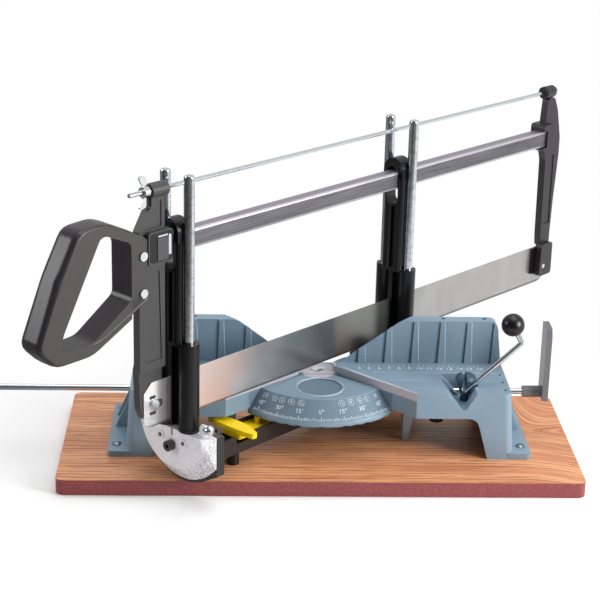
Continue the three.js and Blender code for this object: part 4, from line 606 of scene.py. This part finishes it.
# DIAL RINGS AND RIM
# A double ring is cast round the shallow disc on the dial.
# A smooth lip covers the notches in the dial's rim.
def ring_mesh(middle, radius, bead, turns=72, sections=8):
    corners = []
    for k in range(turns):
        turn = math.tau * k / turns
        for j in range(sections):
            lean = math.tau * j / sections
            out = radius + bead * math.cos(lean)
            x, y = middle[0] + out * math.cos(turn), middle[1] + out * math.sin(turn)
            corners.append((x, y, middle[2] + bead * math.sin(lean)))
    return raised_mesh("ring", corners, tube_faces(turns, sections, True))


def lip_mesh(half_angle, outline, turns=64):
    corners = []
    for k in range(turns + 1):
        turn = half_angle * (2 * k / turns - 1)
        for radius, z in outline:
            corners.append((radius * math.sin(turn), pivot_y - radius * math.cos(turn), z))
    return raised_mesh("lip", corners, tube_faces(turns + 1, len(outline)))


disc_middle = (0, pivot_y - 0.041, dial_top_z)
ring_radii, ring_bead = (0.0236, 0.0221), 0.00028
ring_pieces = [ring_mesh(disc_middle, radius, ring_bead) for radius in ring_radii]
# The rings take the pale material as a painted highlight along their crests.
gathered("dial_rings", ring_pieces, worn_marks, "base")
lip_outline = [
    (dial_rim_radius - 0.0003, dial_rim_z),
    (dial_rim_radius + 0.0005, dial_rim_z + 0.0003),
    (dial_rim_radius + 0.0005, dial_foot_z - 0.0012),
    (dial_foot_radius + 0.0002, dial_foot_z + 0.0002),
    (dial_rim_radius - 0.0006, dial_foot_z - 0.0012),
]
lip_meshes = [lip_mesh(math.radians(51.3), lip_outline)]
lip = gathered("dial_lip", lip_meshes, grey_blue_paint, "base")
soften(lip, round_mm=0, sharp_degrees=50)

# TABLE RULER
# A row of short ticks and numbers in centimetres lies along the foot of the right fence.
table_z = 0.081
ruler_middle, ruler_numbers_y = (0.1, 0.0215, table_z), 0.0165
ruler_ticks = tick_tree("ruler_ticks", (0.003, 0.003, 0.0045), 0.0006, ruler_middle, 0.0, False)
ruler_meshes = [grown_mesh(ruler_ticks, ticks_each_side=12.0, pitch=0.005)]


def on_table(x, y):
    return lambda across, upward, lift: Vector((x + across, y + upward, table_z + lift / 2))


for centimetres in range(4, 17):
    bend = on_table(centimetres / 100, ruler_numbers_y)
    ruler_meshes.append(number_mesh(str(centimetres), 0.005, bend))
gathered("table_ruler", ruler_meshes, worn_marks, "base")


# BRIGHT PLATED STEEL
# Rods, screws, pins, tension rod and the clamp's lever are steel under bright zinc.
# The plating is smooth, with a faint cloudiness along the rods.
def plated_material(name, colour, roughness, mottle):
    material, tree = new_material(name)
    cloud = noisy(tree, spot_on(tree), Scale=260.0, Detail=5.0, Roughness=0.65)
    tones = toned(tree, cloud, 0.36, [mottle * part for part in colour], 0.56, colour)
    rough = ranged(tree, cloud, 0.0, 1.0, roughness * 0.8, roughness * 1.4)
    return finished(material, tree, Metallic=1.0, Base_Color=tones, Roughness=rough)


def named(*starts):
    return [name for name in nodes if name.startswith(starts)]


bright_zinc = plated_material("bright_zinc", (224, 229, 232), 0.16, 0.96)
mottled_zinc = plated_material("mottled_zinc", (220, 226, 230), 0.15, 0.85)
dull_zinc = plated_material("dull_zinc", (150, 158, 164), 0.3, 0.8)
dress(named("guide_rod_"), mottled_zinc, round_mm=0)
dress(named("foot_screw_"), dull_zinc, round_mm=0)
turned_names = named("handle_rivet_", "blade_pin_", "pivot_", "tilt_nut_", "tilt_thumb_screw")
turned_names += ["detent_pin", "detent_spring", "tension_rod", "wing_nut", "stop_rod", "clamp_lever"]
dress(turned_names, bright_zinc, round_mm=0)

# BACK BAR
# A cold drawn bar: dull brushed sides with fine lines along it; its top is painted paler as lit and its
# chamfers painted bright as highlights.
saw_heading = math.radians(-45)


def drawn_steel():
    material, tree = new_material("drawn_steel")
    turned = mapped(tree, spot_on(tree), Rotation=(0.0, 0.0, saw_heading))
    stretch = mapped(tree, turned, Scale=(14.0, 900.0, 900.0))
    brushed = noisy(tree, stretch, Scale=1.0, Detail=4.0, Roughness=0.65)
    facing = parted(tree, spot_on(tree, "Normal"))
    # Painted light: faces turned up are coloured paler as a lit top, and faces that are neither flat sides
    # nor top are painted bright as chamfer highlights.
    top = ranged(tree, facing["Z"], 0.9, 0.98)
    across = summed(tree, "SUBTRACT", facing["X"], facing["Y"])
    side = ranged(tree, summed(tree, "ABSOLUTE", across), 1.385, 1.405)
    tones = toned(tree, brushed, 0.3, (84, 83, 88), 0.7, (132, 131, 137))
    chamfer_highlight = mixed(tree, side, (204, 204, 208), tones)
    colour = mixed(tree, top, chamfer_highlight, (156, 149, 164))
    rough = ranged(tree, brushed, 0.2, 0.8, 0.3, 0.5)
    return finished(material, tree, brushed, 0.12, 0.0002, Metallic=0.85, Base_Color=colour, Roughness=rough)


dress(["back_bar"], drawn_steel(), round_mm=0.7)

# SAW BLADE
# Hardened strip steel, ground along its length, with cut teeth below, whose gullets are painted dark as
# shade.
# The grinding lines are fine and pale clouds vary the tone at random; a darker band across the middle and
# right of the strip is a painted reflection.
tooth_pitch = 0.0021


def ground_steel():
    material, tree = new_material("ground_steel")
    turned = mapped(tree, spot_on(tree), Rotation=(0.0, 0.0, saw_heading))

    def marks(along, upward):
        stretch = mapped(tree, turned, Scale=(along, 20.0, upward))
        return noisy(tree, stretch, Scale=1.0, Detail=3.0, Roughness=0.6)

    fine = marks(22.0, 1500.0)
    clouds = marks(26.0, 14.0)
    split = parted(tree, turned)
    # Painted reflection: the strip is coloured darker from its middle toward its right end, where it reflects
    # the table beside it.
    shaken = summed(tree, "ADD", split["X"], summed(tree, "MULTIPLY", clouds, 0.08))
    inward = ranged(tree, shaken, -0.13, 0.06, 0.0, 1.0, True)
    outward = ranged(tree, shaken, 0.12, 0.26, 1.0, 0.7, True)
    reflection_darkening = summed(tree, "MULTIPLY", inward, outward)
    # Painted shade: along the bottom of the strip every tooth gullet is coloured dark.
    tooth = summed(tree, "FRACT", summed(tree, "MULTIPLY", split["X"], 1 / tooth_pitch))
    low = ranged(tree, split["Z"], 0.0824, 0.0842, 1.0, 0.0)
    gullet_shade = summed(tree, "MULTIPLY", low, ranged(tree, tooth, 0.2, 0.6, 0.45, 0.9))
    tones = toned(tree, clouds, 0.3, (228, 224, 223), 0.7, (252, 250, 249))
    colour = mixed(tree, gullet_shade, mixed(tree, reflection_darkening, tones, (128, 130, 128)), (70, 66, 64))
    rough = ranged(tree, clouds, 0.3, 0.7, 0.27, 0.17)
    return finished(material, tree, fine, 0.1, 0.0001, Metallic=0.8, Base_Color=colour, Roughness=rough)


dress(["saw_blade"], ground_steel(), round_mm=0)


# BLACK COATED AND MOULDED PIECES
# The arms are cast and coated black, and the guides, handle and stops are moulded nylon.
def black_material(name, colour, roughness, scale, strength):
    material, tree = new_material(name)
    skin = noisy(tree, spot_on(tree), Scale=scale, Detail=3.0)
    return finished(material, tree, skin, strength, 0.0002, Base_Color=srgb(*colour), Roughness=roughness)


def grip_material():
    material, tree = new_material("grip_nylon")
    spot = spot_on(tree)
    lie = parted(tree, spot)
    facing = parted(tree, spot_on(tree, "Normal"))
    skin = noisy(tree, spot, Scale=1500.0, Detail=3.0)
    across = summed(tree, "SUBTRACT", facing["X"], facing["Y"])
    flat = ranged(tree, summed(tree, "ABSOLUTE", across), 1.34, 1.4)
    beside = summed(tree, "SUBTRACT", lie["X"], lie["Y"])
    off_middle = summed(tree, "ABSOLUTE", summed(tree, "ADD", beside, pivot_y))
    seam = ranged(tree, off_middle, 0.0004, 0.0007, 1.0, 0.0)
    colour = mixed(tree, seam, mixed(tree, flat, (42, 38, 42), (58, 57, 56)), (12, 11, 13))
    rough = ranged(tree, flat, 0.0, 1.0, 0.28, 0.42)
    return finished(material, tree, skin, 0.2, 0.0002, Base_Color=colour, Roughness=rough)


black_coat = black_material("black_coat", (62, 61, 62), 0.42, 900.0, 0.3)
rear_coat = black_material("rear_coat", (40, 37, 42), 0.4, 900.0, 0.3)
arm_coat = black_material("arm_coat", (36, 34, 34), 0.4, 900.0, 0.3)
black_nylon = black_material("black_nylon", (7, 7, 9), 0.3, 1200.0, 0.12)
stop_nylon = black_material("stop_nylon", (104, 102, 105), 0.34, 1500.0, 0.2)
dress(["frame_arm_front"], black_coat, round_mm=0.5)
dress(["frame_arm_rear"], rear_coat, round_mm=0.5)
dress(["mitre_arm"], arm_coat, round_mm=0.5)
dress(named("tilt_bolt_", "rod_screw_"), black_coat, round_mm=0)
dress(["guide_front", "guide_rear"], black_nylon, round_mm=0.5)
dress(["handle"], grip_material(), round_mm=0.5)
dress(["stop_plate"], stop_nylon, round_mm=0.5)
dress(named("arm_glide_pad", "stop_collar_", "stop_lock_knob", "clamp_ball"), black_nylon, round_mm=0)

# BAR SOCKET FACE
# The open side of the front arm's socket: a thin black plate as painted shade in the socket's hollow, the
# dull cap of the bar's end inside it, and two bright zinc strips as painted highlights on the side and top
# edge of the bar's end.
cap_coat = black_material("cap_coat", (70, 68, 71), 0.4, 1500.0, 0.2)


def saw_point(along, beside, z):
    share = math.sqrt(0.5)
    return (share * (along + beside), pivot_y + share * (along - beside), z)


def side_plate(name, low, high, beside, corner, material):
    outline = []
    for right_side, upper, start in ((1, 1, 0), (-1, 1, 90), (-1, -1, 180), (1, -1, 270)):
        along = (high[0] if right_side > 0 else low[0]) - right_side * corner
        rise = (high[1] if upper > 0 else low[1]) - upper * corner
        for k in range(5):
            turn = math.radians(start + 22.5 * k)
            outline.append((along + corner * math.cos(turn), rise + corner * math.sin(turn)))
    corners = [saw_point(along, depth, z) for depth in beside for along, z in outline]
    mesh = raised_mesh(name, corners, tube_faces(2, len(outline)))
    soften(gathered(name, [mesh], material, "saw"), round_mm=0.15, flatten=False)


# The black plate is painted shade; the two zinc strips are painted highlights.
cheek_depth, shade_depth = (0.0003, 0.0024), (0.0090, 0.0097)
cap_depth, highlight_depth = (0.0095, 0.0104), (0.0095, 0.0101)
for name, low, high, beside, corner, material in (
    ("blade_cheek_pad", (0.3545, 0.0935), (0.3680, 0.1235), cheek_depth, 0.002, black_nylon),
    ("socket_tray", (-0.2322, 0.2402), (-0.2056, 0.2672), shade_depth, 0.003, black_nylon),
    ("bar_end_cap", (-0.2242, 0.2415), (-0.2117, 0.2622), cap_depth, 0.001, cap_coat),
    ("wedge_side", (-0.2112, 0.2450), (-0.2080, 0.2635), highlight_depth, 0.0008, bright_zinc),
    ("wedge_top", (-0.2235, 0.2630), (-0.2122, 0.2645), highlight_depth, 0.0005, bright_zinc),
):
    side_plate(name, low, high, beside, corner, material)


# STRUT LINE OF THE HANDLE
# A raised bead, coloured pale as a painted highlight, follows the lower strut of the handle, with a black
# bead under it as a painted shadow line.
def side_bead(name, path, beside, radius, material):
    mesh = bead_mesh([saw_point(along, beside, z) for along, z in path], radius)
    soften(gathered(name, [mesh], material, "saw"), round_mm=0, sharp_degrees=60)


strut_along = (-0.2392, -0.2560, -0.2720, -0.2869, -0.2950, -0.3014)
strut_heights = (0.2116, 0.2036, 0.1958, 0.1885, 0.1862, 0.1850)
strut_path = list(zip(strut_along, strut_heights))
shadow_path = [(along, z - 0.0013) for along, z in strut_path]
side_bead("strut_bead", strut_path, 0.0130, 0.0005, stop_nylon)
side_bead("strut_shadow", shadow_path, 0.0129, 0.0006, black_nylon)


# TILTING BRACKETS
# Raw die castings, shot blasted to a pale grey, rougher round the rim.
def die_cast_material():
    material, tree = new_material("blasted_die_cast")
    spot = spot_on(tree)
    grit = noisy(tree, spot, Scale=600.0, Detail=5.0, Roughness=0.7)
    tones = toned(tree, grit, 0.3, (210, 208, 212), 0.65, (242, 241, 245))
    spread = parted(tree, mapped(tree, spot, Location=(0.0, -pivot_y, -0.076)))
    askew = summed(tree, "SUBTRACT", spread["X"], spread["Y"])
    beside = summed(tree, "MULTIPLY", askew, math.sqrt(0.5))
    wide = summed(tree, "MULTIPLY", beside, beside)
    tall = summed(tree, "MULTIPLY", spread["Z"], spread["Z"])
    rim = ranged(tree, summed(tree, "SQRT", summed(tree, "ADD", wide, tall)), 0.0415, 0.046)
    pits = ranged(tree, grit, 0.42, 0.58, 1.0, 0.0, True)
    soil = summed(tree, "MULTIPLY", summed(tree, "MULTIPLY", rim, pits), 0.5)
    colour = mixed(tree, soil, tones, (96, 88, 84))
    return finished(material, tree, grit, 0.4, 0.0003, Metallic=0.2, Base_Color=colour, Roughness=0.45)


dress(["tilt_bracket_front", "tilt_bracket_rear"], die_cast_material(), round_mm=0.6)


# DETENT LEVER
# One yellow moulding, glossy enough to show a soft highlight on its edges.
def yellow_material():
    material, tree = new_material("yellow_moulding")
    skin = noisy(tree, spot_on(tree), Scale=700.0, Detail=2.0)
    yellow = srgb(250, 214, 6)
    return finished(material, tree, skin, 0.06, 0.0003, Base_Color=yellow, Roughness=0.36)


dress(["detent_lever"], yellow_material(), round_mm=0.6)

scene.view_settings.view_transform = "Standard"
